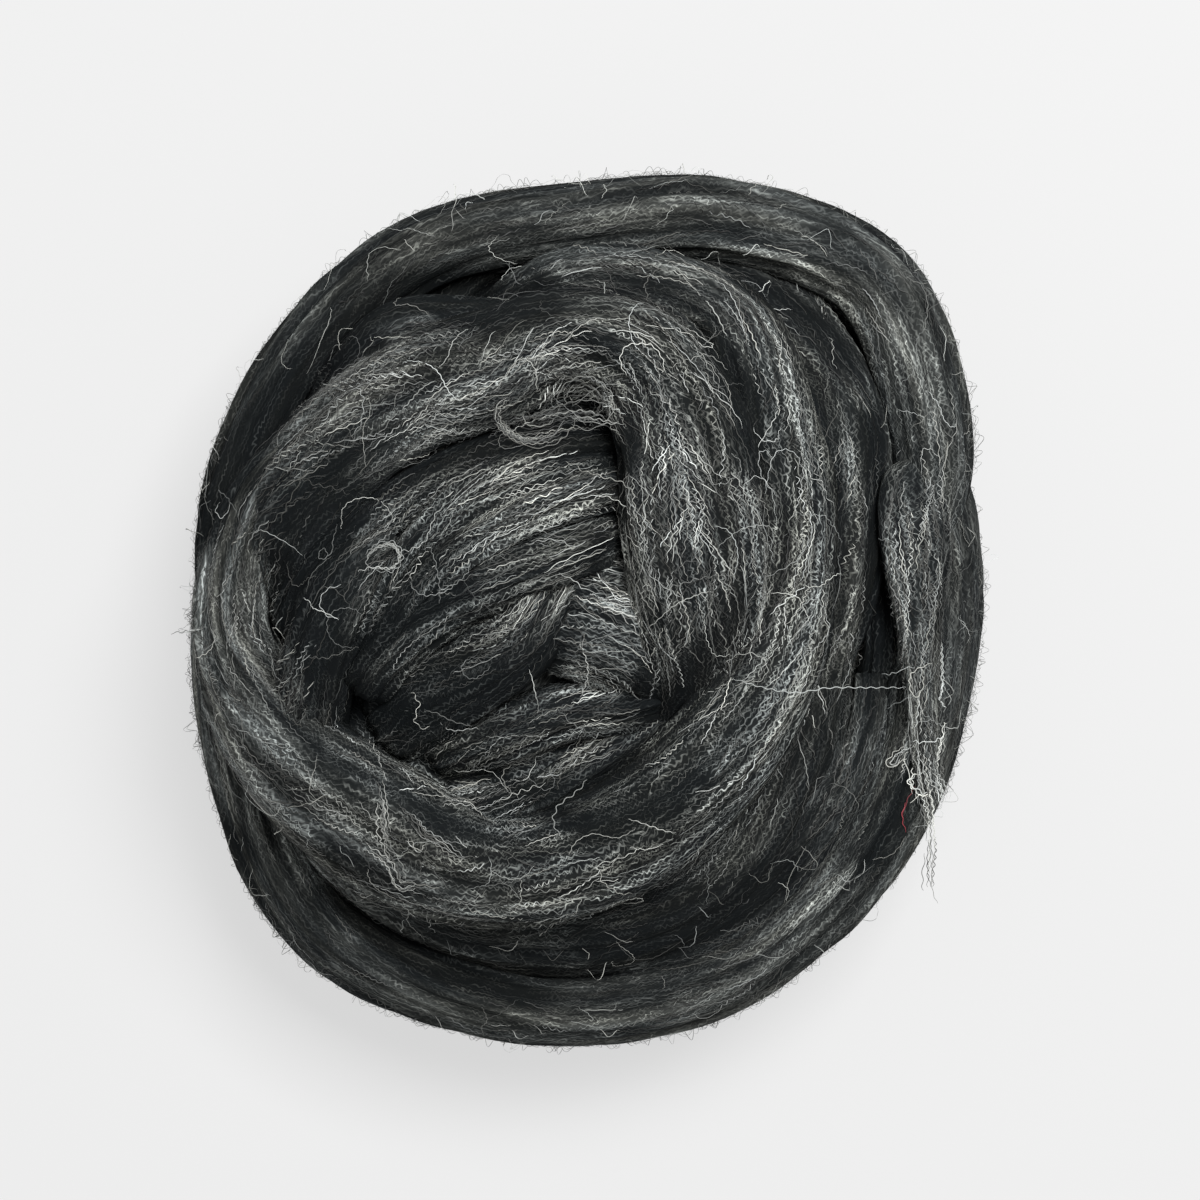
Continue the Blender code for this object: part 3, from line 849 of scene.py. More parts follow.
def tree_of(pieces):
    """All the pieces' faces, ready to be met by a ray."""
    points, faces = [], []
    for piece in pieces:
        base = len(points)
        points += [vert.co for vert in piece.data.vertices]
        faces += [[base + v for v in face.vertices] for face in piece.data.polygons]
    return BVHTree.FromPolygons(points, faces)


skin = tree_of([*wool_pieces.values(), heart, loose_end])


def open_share(points, normals):
    """How much of each fibre lies in the open, from 0 to 1."""
    picks = (NEAR_END, STRIP_FACES // 3, 2 * STRIP_FACES // 3, STRIP_FACES - NEAR_END)
    seen = np.zeros(len(points))
    for row in range(len(points)):
        for pick in picks:
            at, out = Vector(points[row, pick]), Vector(normals[row, pick])
            hit = skin.ray_cast(at + out * RAY_START_MM * MM, out, COVER_REACH)[0]
            seen[row] += (hit is None) / len(picks)
    return seen


# %% Lay the combed fibres
COAT_COUNTS = {"underside": 300, "outside": 1300, "middle": 2750, "bun": 2200, "inner": 2100}
SPARE_FIBRES = 3.4
fibre_pieces = {}
for number, (part, wanted) in enumerate(COAT_COUNTS.items()):
    random = np.random.default_rng(100 + number)
    names = [turn.name for turn in TURNS if turn.part == part]
    areas = np.array([paths[name].length * paths[name].width.mean() for name in names])
    columns = []
    for name, share in zip(names, areas / areas.sum()):
        drawn = draw_fibres(random, paths[name], int(SPARE_FIBRES * wanted * share))
        points, normals = run_fibres(paths[name], drawn)
        seen = open_share(points, normals) > SEEN_ENOUGH
        columns.append([points[seen], normals[seen], drawn.width[seen], drawn.shade[seen]])
    gathered = [np.concatenate(column) for column in zip(*columns)]
    keep = random.permutation(len(gathered[0]))[:wanted]
    fibre_pieces[part] = fibre_piece("fibres_" + part, *[column[keep] for column in gathered])
    print(part, len(gathered[0]), "seen,", len(keep), "kept")

# %% [markdown]
# ### Stray hairs
# Some hairs have come loose from their strand. They wander over the ball in any direction, curl, and
# some stand off it, which gives the ball its soft edge. A stray hair is led by a bearing and a height
# as seen from the ball's middle, both of them angles. At each step a ray from outside finds the wool
# under it. There are three kinds: long ones, short ones lower down, and many at the rim, which is
# where the ball is widest on each bearing.

# %% The wool under a hair
RAY_FROM = 0.3
RIM_HEIGHTS = np.linspace(-0.15, 0.3, 16)
BRIDGE_SLOPE = 0.35


def wool_at(bearing, height):
    """The way out of the ball at a bearing and a height, and where a ray along it meets the wool."""
    way = Vector((math.cos(bearing) * math.cos(height), math.sin(bearing) * math.cos(height),
                  math.sin(height)))
    return way, skin.ray_cast(Vector(BALL_MIDDLE) + way * RAY_FROM, -way)[0]


def rim_height(bearing):
    """The height at which the ball is widest on a bearing, which is where its rim is seen from above."""
    met = [wool_at(bearing, height)[1] for height in RIM_HEIGHTS]
    widths = [0 if hit is None else math.hypot(hit.x, hit.y) for hit in met]
    return float(RIM_HEIGHTS[int(np.argmax(widths))])


def over_hollows(heights, step):
    """The heights of a hair that bridges hollows: it can't fall faster than the bridge slope."""
    fall = BRIDGE_SLOPE * step
    heights = np.array(heights)
    for order in (slice(None), slice(None, None, -1)):
        turned = heights[order]
        for row in range(1, len(turned)):
            turned[row] = max(turned[row], turned[row - 1] - fall)
    return heights


# %% One wandering hair
# A hair turns by its crimp and by a spin that changes slowly by chance. Its height, an angle, stays
# off the very top, where all bearings meet.
SPIN_START, SPIN_CHANGE, SPIN_LOSS = 0.3, 0.09, 0.03
SPIN_TURNING, CRIMP_TURNING = 0.5, 1.3
STRAY_CRIMPS = (0.8, 1.5)
USUAL_REACH = 80 * MM
LOWEST, HIGHEST, LEAST_COSINE = -0.3, 1.5, 0.15
HOVER, HOVER_RATE = 0.25 * MM, 7
TILT_UP = (0, 0, 0.8)


def stray_hair(random, faces, bearing, height, heading, loft, curl, step):
    """Points of one wandering hair, from a bearing and a height on the ball."""
    reaches, ways = [], []
    spin, reach = random.normal(0, SPIN_START), USUAL_REACH
    crimp_phase = random.uniform(0, math.tau)
    crimp_length = CRIMP_LENGTH * random.uniform(*STRAY_CRIMPS)
    for row in range(faces + 1):
        way, hit = wool_at(bearing, height)
        reach = (hit - Vector(BALL_MIDDLE)).length if hit is not None else reach
        reaches.append(reach)
        ways.append(way)
        spin += random.normal(0, SPIN_CHANGE) - SPIN_LOSS * spin
        crimp = math.cos(math.tau * row * step / crimp_length + crimp_phase)
        heading += curl * step / MM * (SPIN_TURNING * spin + CRIMP_TURNING * crimp)
        bearing += math.cos(heading) * step / reach / max(LEAST_COSINE, math.cos(height))
        height = min(HIGHEST, max(LOWEST, height + math.sin(heading) * step / reach))
    part = np.linspace(0, 1, faces + 1)
    rise = loft * np.sin(math.pi * part)**2 + HOVER * (1 + np.sin(HOVER_RATE * part + crimp_phase))
    ways = np.array(ways)
    return BALL_MIDDLE + ways * (over_hollows(reaches, step) + rise)[:, None], unit(ways + TILT_UP)


# %% Lay the stray hairs
StrayKind = namedtuple("StrayKind", "kind count faces steps_mm sines loft_mm most_loft_mm shades")
STRAY_KINDS = (
    StrayKind("long", 220, 80, (0.11, 0.26), (0.1, 1.0), 0.8, 6.0, (0.15, 0.85)),
    StrayKind("short", 300, 40, (0.11, 0.26), (-0.1, 0.45), 1.3, 3.5, (0.15, 0.85)),
    StrayKind("rim", 1500, 14, (0.18, 0.34), None, 0.55, 2.2, (0.1, 0.45)),
)
START_HIGHEST = 1.45
RIM_SCATTER, RIM_TURNING = 0.02, 0.5
CURLS = (0.6, 1.4)
STRAY_WIDTHS = (0.5, 1.0)
for number, kind in enumerate(STRAY_KINDS):
    random = np.random.default_rng(300 + number)
    made = []
    for _ in range(kind.count):
        bearing, heading = random.uniform(0, math.tau), random.uniform(0, math.tau)
        if kind.sines is None:
            height = rim_height(bearing) + random.normal(0, RIM_SCATTER)
            heading = random.choice((0, math.pi)) + random.normal(0, RIM_TURNING)
        else:
            height = min(START_HIGHEST, math.asin(random.uniform(*kind.sines)))
        loft = min(random.exponential(kind.loft_mm), kind.most_loft_mm) * MM
        curl, step = random.uniform(*CURLS), random.uniform(*kind.steps_mm) * MM
        made.append(stray_hair(random, kind.faces, bearing, height, heading, loft, curl, step))
    points, ways = (np.array(column) for column in zip(*made))
    widths = FIBRE_WIDTH * random.uniform(*STRAY_WIDTHS, kind.count)
    shades = random.uniform(*kind.shades, kind.count)
    fibre_pieces[kind.kind] = fibre_piece("fibres_stray_" + kind.kind, points, ways, widths, shades)
    print(kind.count, kind.kind, "stray hairs")

# %% [markdown]
# ### Locks that have come loose
# A few locks stand out in the photograph: a curl and a small ring in the hollow at the ball's middle,
# a loop on the strands to their left, a fall of strands with a hook on the turn in front, and some
# long single hairs. Each is a bundle of hairs on a smooth line, charted in the plan like the streaks.
# The wool under it is found by rays from above.

# %% The chart of locks
Lock = namedtuple("Lock", "name hairs spread lift shade line")
LOCKS = (
    Lock("curl", 13, 0.5, 1.4, 0.5,
         ((-15, 48), (-18, 46), (-19, 43), (-17, 40), (-13, 38), (-8, 38.5), (-4, 40))),
    Lock("curl_inside", 14, 1.6, 0.8, 0.22,
         ((-15, 44), (-13, 41), (-9, 41), (-6, 43), (-4, 46))),
    Lock("hollow", 16, 1.8, 1.6, 0.28,
         ((-21, 38), (-14, 41), (-5, 43), (2, 43.5), (10, 40))),
    Lock("ring", 9, 0.8, 1.4, 0.32,
         ((-3, 44), (-4, 47), (-2, 49), (1, 49.5), (4, 47), (4, 44), (1, 42), (-2, 43))),
    Lock("ring_tail", 6, 0.5, 1.4, 0.55,
         ((-4, 43), (0, 42), (5, 41.5), (10, 41))),
    Lock("loop", 5, 0.5, 1.0, 0.55,
         ((-46, 7), (-48, 11), (-46, 14), (-42, 15), (-40, 12), (-42, 9), (-47, 9), (-52, 7))),
    Lock("long_hair", 1, 0.1, 2.5, 0.8,
         ((33, -15), (40, -17), (47, -18), (54, -17), (63, -17), (71, -17))),
    Lock("left_hair", 3, 0.5, 2.0, 0.4,
         ((-82, -3), (-87, -4), (-91, -5))),
    Lock("front_fall", 9, 0.8, 0.6, 0.42,
         ((-45.5, -36.7), (-43.9, -42.7), (-43.3, -48.2), (-42.6, -49.9), (-41.1, -54.3))),
    Lock("front_hook", 10, 0.8, 0.7, 0.42,
         ((-49.9, -49.5), (-45.7, -52.6), (-42.4, -55.6), (-40.6, -59.8), (-38.9, -60.1), (-36.9, -59.4),
          (-34.7, -58.7))),
    Lock("front_strand", 8, 0.8, 0.6, 0.45,
         ((-42, -42.2), (-37.3, -45.5), (-35.1, -48.4), (-31.4, -50.6), (-27.6, -53.2), (-25, -54.8))),
    Lock("front_loop", 2, 0.2, 1.2, 0.6,
         ((-42, -47.5), (-39.7, -49.7), (-38, -51.2), (-36.7, -52.8), (-35.1, -52.1), (-34.7, -50.6))),
    Lock("front_hair", 4, 0.6, 1.0, 0.5,
         ((-32.5, -42.9), (-29.4, -41.8), (-25, -42.4), (-21.7, -44.9))),
)
END_LOCKS = (
    Lock("end_curl", 3, 0.35, 0.8, 0.6,
         ((73.2, -28.3), (71.5, -30.1), (69.5, -31), (68.2, -32.3), (67.5, -33.4), (68.8, -33.6),
          (69.9, -32.1), (71.9, -30.1))),
    Lock("end_wisp_left", 2, 0.3, 0.8, 0.8,
         ((72.8, -29.4), (71.5, -32.1), (70.8, -34.5), (69.9, -38.5))),
    Lock("end_loop", 2, 0.3, 0.9, 0.85,
         ((75.2, -36.3), (73.5, -36.5), (72.1, -37.6), (73.5, -38.9), (75.2, -40), (76.3, -38.9))),
    Lock("end_wisp", 6, 0.45, 0.7, 0.6,
         ((74.1, -29.4), (74.6, -34.9), (75.4, -39.3), (76.3, -42.7), (76.3, -45.1), (76.5, -50.4),
          (76.5, -54.8), (76.3, -59.2))),
    Lock("end_wisp_low", 5, 0.5, 0.7, 0.65,
         ((74.1, -36), (74.8, -41.5), (75.4, -44.2), (76.1, -46.4), (76.5, -51.5))),
    Lock("end_wisp_across", 1, 0.1, 0.9, 0.9,
         ((76.8, -38.9), (75.4, -40.4), (73.7, -40.4), (71.9, -42.2))),
    Lock("end_curl_right", 3, 0.35, 0.9, 0.8,
         ((78.1, -27.2), (79.2, -25.5), (79.6, -24.4), (79.4, -26.6), (78.7, -29.4), (78.1, -32.1),
          (77.9, -34.1), (78.7, -35.8), (80.3, -36.7))),
    Lock("end_tuft_right", 9, 1.2, 0.7, 0.7,
         ((76.3, -33.8), (77.6, -37.8), (78.7, -40.4), (79.2, -42.9))),
    Lock("end_tuft_left", 8, 1.2, 0.7, 0.7,
         ((73.5, -30.5), (73.9, -34.9), (74.3, -39.3), (74.8, -42.9))),
    Lock("end_across", 1, 0.1, 1.2, 0.9,
         ((72.6, -28.6), (74.6, -29), (77.4, -28.6), (79.2, -27.7))),
    Lock("end_tail", 6, 0.9, 0.5, 0.12,
         ((76.5, -47.1), (76.5, -52.6), (76.3, -57), (76.8, -61.4), (78.1, -64.7))),
    Lock("end_loop_high", 1, 0.1, 1.2, 0.8,
         ((76.8, -11.6), (74.1, -12.5), (72.1, -14), (71.9, -16.2), (72.4, -18.2), (73.7, -18.6),
          (74.6, -16.9), (74.8, -14.2))),
    Lock("end_hair_left", 1, 0.1, 1, 0.6,
         ((73, -12.3), (70.2, -12.9), (68.2, -13.8), (65.8, -14.2))),
    Lock("end_bend", 3, 0.4, 0.9, 0.8,
         ((78.5, -6.3), (78.7, -10.7), (79, -16.2), (78.5, -19.5), (79.8, -21.3), (79, -23.5),
          (78.3, -26.1))),
)
DYED_LOCKS = (
    Lock("dyed_hair", 2, 0.12, 0.6, 0.5,
         ((73.7, -37.4), (72.1, -40.4), (71, -42.9), (70.6, -44.9), (71, -47.3), (72.1, -49.5),
          (73.2, -50.8))),
)

# %% Hairs along a lock
LOCK_FACES = 70
LINE_PITCH_MM = 0.2
# What a ray meets below the first level is the table or the underside, so the hair is off the ball.
ON_BALL_LEVEL, OFF_BALL_LEVEL = 20 * MM, 60 * MM
# A hair starts and ends at chance shares of its lock's line, within these bounds.
LOCK_STARTS, LOCK_ENDS = (0, 0.4), (0.6, 1)
LOCK_CRIMPS, CRIMP_DEPTHS_MM = (0.8, 1.6), (0.1, 0.28)
CHANCE_PHASE = 7
LOCK_RISES, RISE_START, RISE_LEAST = (0.3, 1), 0.25, 0.2 * MM
LOCK_WIDTH, LOCK_WIDTHS = 0.17 * MM, (0.7, 1.1)
LOCK_SHADE_SPREAD = 0.15


def lock_heights(place, step):
    """How high the wool lies under points charted in the plan, all hollows bridged."""
    eye = Vector(EYE)
    found = []
    for x, y in place:
        hit = skin.ray_cast(eye, (Vector((x, y, CHART_LEVEL)) - eye).normalized())[0]
        found.append(hit.z if hit is not None and hit.z > ON_BALL_LEVEL else -1)
    found = np.array(found, float)
    found[found < 0] = found.max() if found.max() > 0 else OFF_BALL_LEVEL
    return over_hollows(found, step)


def lock_hairs(random, lock):
    """Points along each hair of a lock."""
    line = smooth_path([(*point, 0) for point in lock.line], LINE_PITCH_MM)[:, :2] * MM
    length = np.linalg.norm(np.diff(line, axis=0), axis=1).sum()
    along = np.linspace(0, 1, LOCK_FACES + 1)
    made = []
    for _ in range(lock.hairs):
        first, last = random.uniform(*zip(LOCK_STARTS, LOCK_ENDS))
        if lock.hairs == 1:
            first, last = 0, 1
        part = first + (last - first) * along
        place = sample(line, part)
        side = unit(np.gradient(place, axis=0))[:, ::-1] * (-1, 1)
        turns = math.tau * part * length / (CRIMP_LENGTH * random.uniform(*LOCK_CRIMPS))
        turns = turns + random.uniform(0, CHANCE_PHASE)
        wave = np.sin(turns + 1.5 * np.sin(9 * part + random.uniform(0, CHANCE_PHASE)))
        bow = random.normal() + 0.5 * np.sin(5 * part + random.uniform(0, CHANCE_PHASE))
        crimp = random.uniform(*CRIMP_DEPTHS_MM) * MM * wave
        place = place + side * (lock.spread * MM * bow + crimp)[:, None]
        arch = RISE_START + np.sin(math.pi * along)
        rise = RISE_LEAST + lock.lift * MM * arch * random.uniform(*LOCK_RISES)
        z = lock_heights(place, length * (last - first) / LOCK_FACES) + rise
        nearness = ((EYE[2] - z) / (EYE[2] - CHART_LEVEL))[:, None]
        made.append(np.column_stack([EYE[:2] + (place - EYE[:2]) * nearness, z]))
    return made


def lock_piece(name, locks, random):
    """A piece of all the hairs of some locks."""
    points, shades = [], []
    for lock in locks:
        made = lock_hairs(random, lock)
        points += made
        shades += list(np.clip(lock.shade + random.normal(0, LOCK_SHADE_SPREAD, len(made)), 0, 1))
    points = np.array(points)
    ways_up = np.broadcast_to((0.0, 0.0, 1.0), points.shape)
    widths = LOCK_WIDTH * random.uniform(*LOCK_WIDTHS, len(points))
    print(name, len(points), "hairs in", len(locks), "locks")
    return fibre_piece(name, points, ways_up, widths, np.array(shades))


fibre_pieces["locks"] = lock_piece("fibres_locks", LOCKS, np.random.default_rng(400))

# %% [markdown]
# ### The loose end's own fibres
# Combed fibres cover the loose end. Its tip is ragged: staples part from each other there, curl, and
# hang over the edge of the ball. Two dyed red hairs are caught in it. They are a piece of their own,
# tied to the ball as the sheet is.

# %% Fibres of the loose end
END_FIBRES = 420

drawn = draw_fibres(np.random.default_rng(200), paths["loose_end"], END_FIBRES)
points, normals = run_fibres(paths["loose_end"], drawn)
fibre_pieces["loose_end"] = fibre_piece("fibres_loose_end", points, normals, drawn.width, drawn.shade)
fibre_pieces["end_wisps"] = lock_piece("fibres_end_wisps", END_LOCKS, np.random.default_rng(500))
dyed_hair = lock_piece("fibres_dyed", DYED_LOCKS, np.random.default_rng(600))

# %% [markdown]
# ## Materials
# Seen close up, the wool is nearly black, with pale hairs on it that all lie nearly one way. The
# pattern cuts the surface into narrow lanes along the roving and draws one hair in each lane. The
# lane's number gives that hair its own chance values: how long its crimp is, where its waves start
# and how pale it is.
#
# Lanes that are all parallel would look like a printed cloth. So the lanes are bent first by a slow
# noise, and the wool uses the pattern four times, each time at another slant. It is a node group, so
# that it is built only once.
#
# First come small helpers for node trees. Each adds a node or two, and hands back its output.

# %% Helpers for node trees
def math_node(tree, operation, *values, clamp=False):
    """A Math node whose inputs are sockets or plain numbers."""
    node = tree.nodes.new("ShaderNodeMath")
    node.operation = operation
    node.use_clamp = clamp
    for socket, value in zip(node.inputs, values):
        if isinstance(value, bpy.types.NodeSocket):
            tree.links.new(value, socket)
        else:
            socket.default_value = value
    return node.outputs[0]


def flat_noise(tree, places, rates, detail=1):
    """A noise texture read at two sockets, each of them times its rate."""
    joined = tree.nodes.new("ShaderNodeCombineXYZ")
    for place, rate, socket in zip(places, rates, joined.inputs):
        tree.links.new(math_node(tree, "MULTIPLY", place, rate), socket)
    node = tree.nodes.new("ShaderNodeTexNoise")
    node.noise_dimensions = "2D"
    node.inputs["Scale"].default_value = 1
    node.inputs["Detail"].default_value = detail
    tree.links.new(joined.outputs[0], node.inputs["Vector"])
    return node.outputs["Fac"]


def chance(tree, number):
    """A chance value from 0 to 1 for each whole number."""
    node = tree.nodes.new("ShaderNodeTexWhiteNoise")
    node.noise_dimensions = "1D"
    tree.links.new(number, node.inputs["W"])
    return node.outputs["Value"]


def spread_out(tree, noise, contrast, middle, clamp=False):
    """A noise with more contrast, about a middle value."""
    difference = math_node(tree, "SUBTRACT", noise, 0.5)
    return math_node(tree, "MULTIPLY_ADD", difference, contrast, middle, clamp=clamp)


def map_places(tree, name):
    """A UV map's output, and its U and V apart."""
    uv = tree.nodes.new("ShaderNodeUVMap")
    uv.uv_map = name
    apart = tree.nodes.new("ShaderNodeSeparateXYZ")
    tree.links.new(uv.outputs[0], apart.inputs[0])
    return uv.outputs[0], apart.outputs


# %% The sockets of the group of hairs
HAIR_INPUTS = ("Lanes per metre", "Slant", "Crimp length", "Crimp depth", "Hair width", "Fullness", "Offset")
hairs = bpy.data.node_groups.new("Layer of hairs", "ShaderNodeTree")
hairs.interface.new_socket("Lengths", in_out="INPUT", socket_type="NodeSocketVector")
for label in HAIR_INPUTS:
    hairs.interface.new_socket(label, in_out="INPUT", socket_type="NodeSocketFloat")
hairs.interface.new_socket("Hairs", in_out="OUTPUT", socket_type="NodeSocketFloat")
entry = hairs.nodes.new("NodeGroupInput").outputs
leave = hairs.nodes.new("NodeGroupOutput").inputs


def calc(operation, *values, clamp=False):
    """A Math node in the group."""
    return math_node(hairs, operation, *values, clamp=clamp)


# %% Bent lanes along the roving
Noise = namedtuple("Noise", "rates amount")
LANE_BEND = Noise((90, 190), 0.0036)

apart = hairs.nodes.new("ShaderNodeSeparateXYZ")
hairs.links.new(entry["Lengths"], apart.inputs[0])
along = calc("ADD", apart.outputs[0], entry["Offset"])
slanted = calc("MULTIPLY_ADD", along, entry["Slant"], apart.outputs[1])
bend = flat_noise(hairs, (along, slanted), LANE_BEND.rates)
bent = calc("MULTIPLY_ADD", bend, LANE_BEND.amount, slanted)
lanes = calc("MULTIPLY", bent, entry["Lanes per metre"])
lane = calc("FLOOR", lanes)
luck = chance(hairs, calc("ADD", lane, entry["Offset"]))

# %% The crimp of the hair in a lane
CRIMP_SWAY = Noise((160, 420), 15)
CRIMP_DEPTH = Noise((260, 3.7), 2)
LUCKY_PHASE = 3
LUCKY_LENGTH = (0.6, 0.7)

sway = flat_noise(hairs, (along, slanted), CRIMP_SWAY.rates)
phase = calc("MULTIPLY_ADD", sway, CRIMP_SWAY.amount, calc("MULTIPLY", luck, LUCKY_PHASE))
crimp_length = calc("MULTIPLY", entry["Crimp length"], calc("MULTIPLY_ADD", luck, *LUCKY_LENGTH))
wave = calc("SINE", calc("ADD", calc("DIVIDE", calc("MULTIPLY", along, math.tau), crimp_length), phase))
ragged = flat_noise(hairs, (along, lane), CRIMP_DEPTH.rates)
depth = calc("MULTIPLY", entry["Crimp depth"], calc("MULTIPLY", ragged, CRIMP_DEPTH.amount))
swing = calc("MULTIPLY", wave, depth)

# %% Where the hair is, and how much of it shows
HAIR_RUNS = Noise((210, 5.3), 5.0)
SOFT_SIDE = 1.3
LUCKY_BRIGHTNESS = (0.9, 0.15)

middle = calc("SUBTRACT", calc("FRACT", lanes), 0.5)
off_hair = calc("ABSOLUTE", calc("MULTIPLY_ADD", swing, entry["Lanes per metre"], middle))
half_width = calc("MULTIPLY", calc("MULTIPLY", entry["Hair width"], entry["Lanes per metre"]), 0.5)
line = calc("SUBTRACT", SOFT_SIDE, calc("DIVIDE", off_hair, half_width), clamp=True)
runs = flat_noise(hairs, (along, lane), HAIR_RUNS.rates)
shown = spread_out(hairs, runs, HAIR_RUNS.amount, entry["Fullness"], clamp=True)
strength = calc("MULTIPLY", shown, calc("MULTIPLY_ADD", luck, *LUCKY_BRIGHTNESS))
hairs.links.new(calc("MULTIPLY", line, strength), leave["Hairs"])
print("the hair group has", len(hairs.nodes), "nodes")

# %% [markdown]
# ### The wool's colour
# Four layers of hairs, each over a near-black ground, are added up, and the streaks and ridges say
# how much of the sum shows, which also paints shade into creases and grooves. Where the wool is out
# of focus, a layer of broad, faint hairs takes their place. Wool isn't one grey either, so slow strands
# of tint make it a little cooler or warmer.

# %% Colours and layers of the wool
DARK_WOOL = (0.0075, 0.0087, 0.0092, 1)
PALE_WOOL = (0.63, 0.665, 0.63, 1)
COOL, WARM = (0.975, 0.998, 1.03, 1), (1.025, 1.0, 0.96, 1)
TINT_STRANDS_PER_METRE = (20, 170)
STRANDS_PER_METRE = (24, 430)
SOFT_STRANDS_PER_METRE = (38, 260)
HAZE = 0.02
HairLayer = namedtuple("HairLayer", "lanes slant crimp_length crimp_depth width fullness offset share")
HAIR_LAYERS = (
    HairLayer(1010, 0.00, 1.5 * MM, 0.17 * MM, 0.28 * MM, 0.60, 0.0, 0.66),
    HairLayer(920, 0.13, 1.7 * MM, 0.21 * MM, 0.25 * MM, 0.50, 3.1, 1.20),
    HairLayer(810, -0.15, 1.4 * MM, 0.24 * MM, 0.24 * MM, 0.35, 7.7, 1.72),
    HairLayer(720, 0.30, 1.9 * MM, 0.28 * MM, 0.23 * MM, 0.15, 5.3, 1.72),
)
SOFT_LAYER = HairLayer(800, 0.06, 2.6 * MM, 0.22 * MM, 0.48 * MM, 0.80, 4.9, 0.42)
FAINT_HAIRS = 0.06
MEAN_HAIRS = 0.06
SOFTENING = 0.85
STRAND_CONTRAST, STRAND_MIDDLE, STRAND_LEAST = 5.0, 0.85, 0.2
TINT_CONTRAST = 3.0
WOOL_BUMP = 0.2 * MM


def blended(tree, first, second, share):
    """The first number, turning into the second as the share goes from 0 to 1."""
    difference = math_node(tree, "SUBTRACT", second, first)
    return math_node(tree, "MULTIPLY_ADD", difference, share, first)


def tinted(tree, colour, warmth):
    """A colour, made cooler or warmer as the warmth goes from 0 to 1."""
    tint, product = (tree.nodes.new("ShaderNodeMix") for _ in range(2))
    tint.data_type = product.data_type = "RGBA"
    tint.inputs["A"].default_value, tint.inputs["B"].default_value = COOL, WARM
    tree.links.new(warmth, tint.inputs["Factor"])
    product.blend_type = "MULTIPLY"
    product.inputs["Factor"].default_value = 1
    tree.links.new(colour, product.inputs["A"])
    tree.links.new(tint.outputs["Result"], product.inputs["B"])
    return product.outputs["Result"]


# %% The parts of the wool's material
def new_material(name, roughness, specular):
    """A material with constant values on its shader, and that shader."""
    material = bpy.data.materials.new(name)
    material.use_nodes = True
    shader = material.node_tree.nodes["Principled BSDF"]
    shader.inputs["Roughness"].default_value = roughness
    shader.inputs["Specular IOR Level"].default_value = specular
    return material, shader


def hair_layer(tree, lengths, layer):
    """One layer of hairs, read from the map of real lengths."""
    pattern = tree.nodes.new("ShaderNodeGroup")
    pattern.node_tree = hairs
    tree.links.new(lengths, pattern.inputs["Lengths"])
    for socket, value in zip(list(pattern.inputs)[1:], layer):
        socket.default_value = value
    return pattern.outputs[0]


def hairs_shown(tree, lengths, soft):
    """The sum of all the layers, and the faint hairs that show even in dark wool."""
    drawn = [hair_layer(tree, lengths, layer) for layer in HAIR_LAYERS]
    total = 0.0
    for layer, mask in zip(HAIR_LAYERS, drawn):
        total = math_node(tree, "MULTIPLY_ADD", mask, layer.share, total)
    broad = hair_layer(tree, lengths, SOFT_LAYER)
    blurred = math_node(tree, "MULTIPLY_ADD", broad, SOFT_LAYER.share, MEAN_HAIRS)
    total = blended(tree, total, blurred, math_node(tree, "MULTIPLY", soft, SOFTENING))
    return total, math_node(tree, "MULTIPLY", drawn[0], FAINT_HAIRS)


def strands_shown(tree, places, soft):
    """How pale each strand of the blend is, in finer strands where the wool is in focus."""
    fine, coarse = (flat_noise(tree, places, rates, 2)
                    for rates in (STRANDS_PER_METRE, SOFT_STRANDS_PER_METRE))
    strands = spread_out(tree, blended(tree, fine, coarse, soft), STRAND_CONTRAST, STRAND_MIDDLE)
    return math_node(tree, "MAXIMUM", strands, STRAND_LEAST)


# %% The wool's material
def wool_material(name):
    """Nearly black wool with layers of pale hairs, more on ridges and pale strands, fewer in creases as
    painted shade.
    """
    material, shader = new_material(name, roughness=0.9, specular=0.02)
    tree = material.node_tree
    lengths, places = map_places(tree, "lengths")
    charted, soft = (tree.nodes.new("ShaderNodeAttribute") for _ in range(2))
    charted.attribute_name, soft.attribute_name = "pale", "soft"
    total, faint = hairs_shown(tree, lengths, soft.outputs["Fac"])
    # The pale attribute holds the pale blend with painted shade in creases and grooves.
    blend = math_node(tree, "MULTIPLY", charted.outputs["Fac"],
                      strands_shown(tree, places, soft.outputs["Fac"]))
    pale = math_node(tree, "MULTIPLY_ADD", blend, math_node(tree, "ADD", total, HAZE), faint, clamp=True)
    colour = tree.nodes.new("ShaderNodeMix")
    colour.data_type = "RGBA"
    colour.inputs["A"].default_value = DARK_WOOL
    colour.inputs["B"].default_value = PALE_WOOL
    tree.links.new(pale, colour.inputs["Factor"])
    warmth = flat_noise(tree, places, TINT_STRANDS_PER_METRE)
    warmth = spread_out(tree, warmth, TINT_CONTRAST, 0.5, clamp=True)
    tree.links.new(tinted(tree, colour.outputs["Result"], warmth), shader.inputs["Base Color"])
    bump = tree.nodes.new("ShaderNodeBump")
    bump.inputs["Strength"].default_value = 1.0
    bump.inputs["Distance"].default_value = WOOL_BUMP
    tree.links.new(total, bump.inputs["Height"])
    tree.links.new(bump.outputs[0], shader.inputs["Normal"])
    return material


wool = wool_material("Charcoal wool")
for piece in [*wool_pieces.values(), heart, loose_end]:
    piece.data.materials.append(wool)
print("the wool's material has", len(wool.node_tree.nodes), "nodes")

# %% [markdown]
# ### The fibres' colour
# A fibre's UV map holds its own shade and tint. A colour ramp turns the shade into a grey, and the
# tint makes it cooler or warmer, as in the wool below it.

# %% Pale and dyed fibres
SHADES = ((0.0, 0.012), (0.3, 0.1), (0.7, 0.48), (1.0, 0.9))
WOOL_WHITE, RED_DYE = (0.97, 1, 0.95), (1.1, 0.16, 0.2)


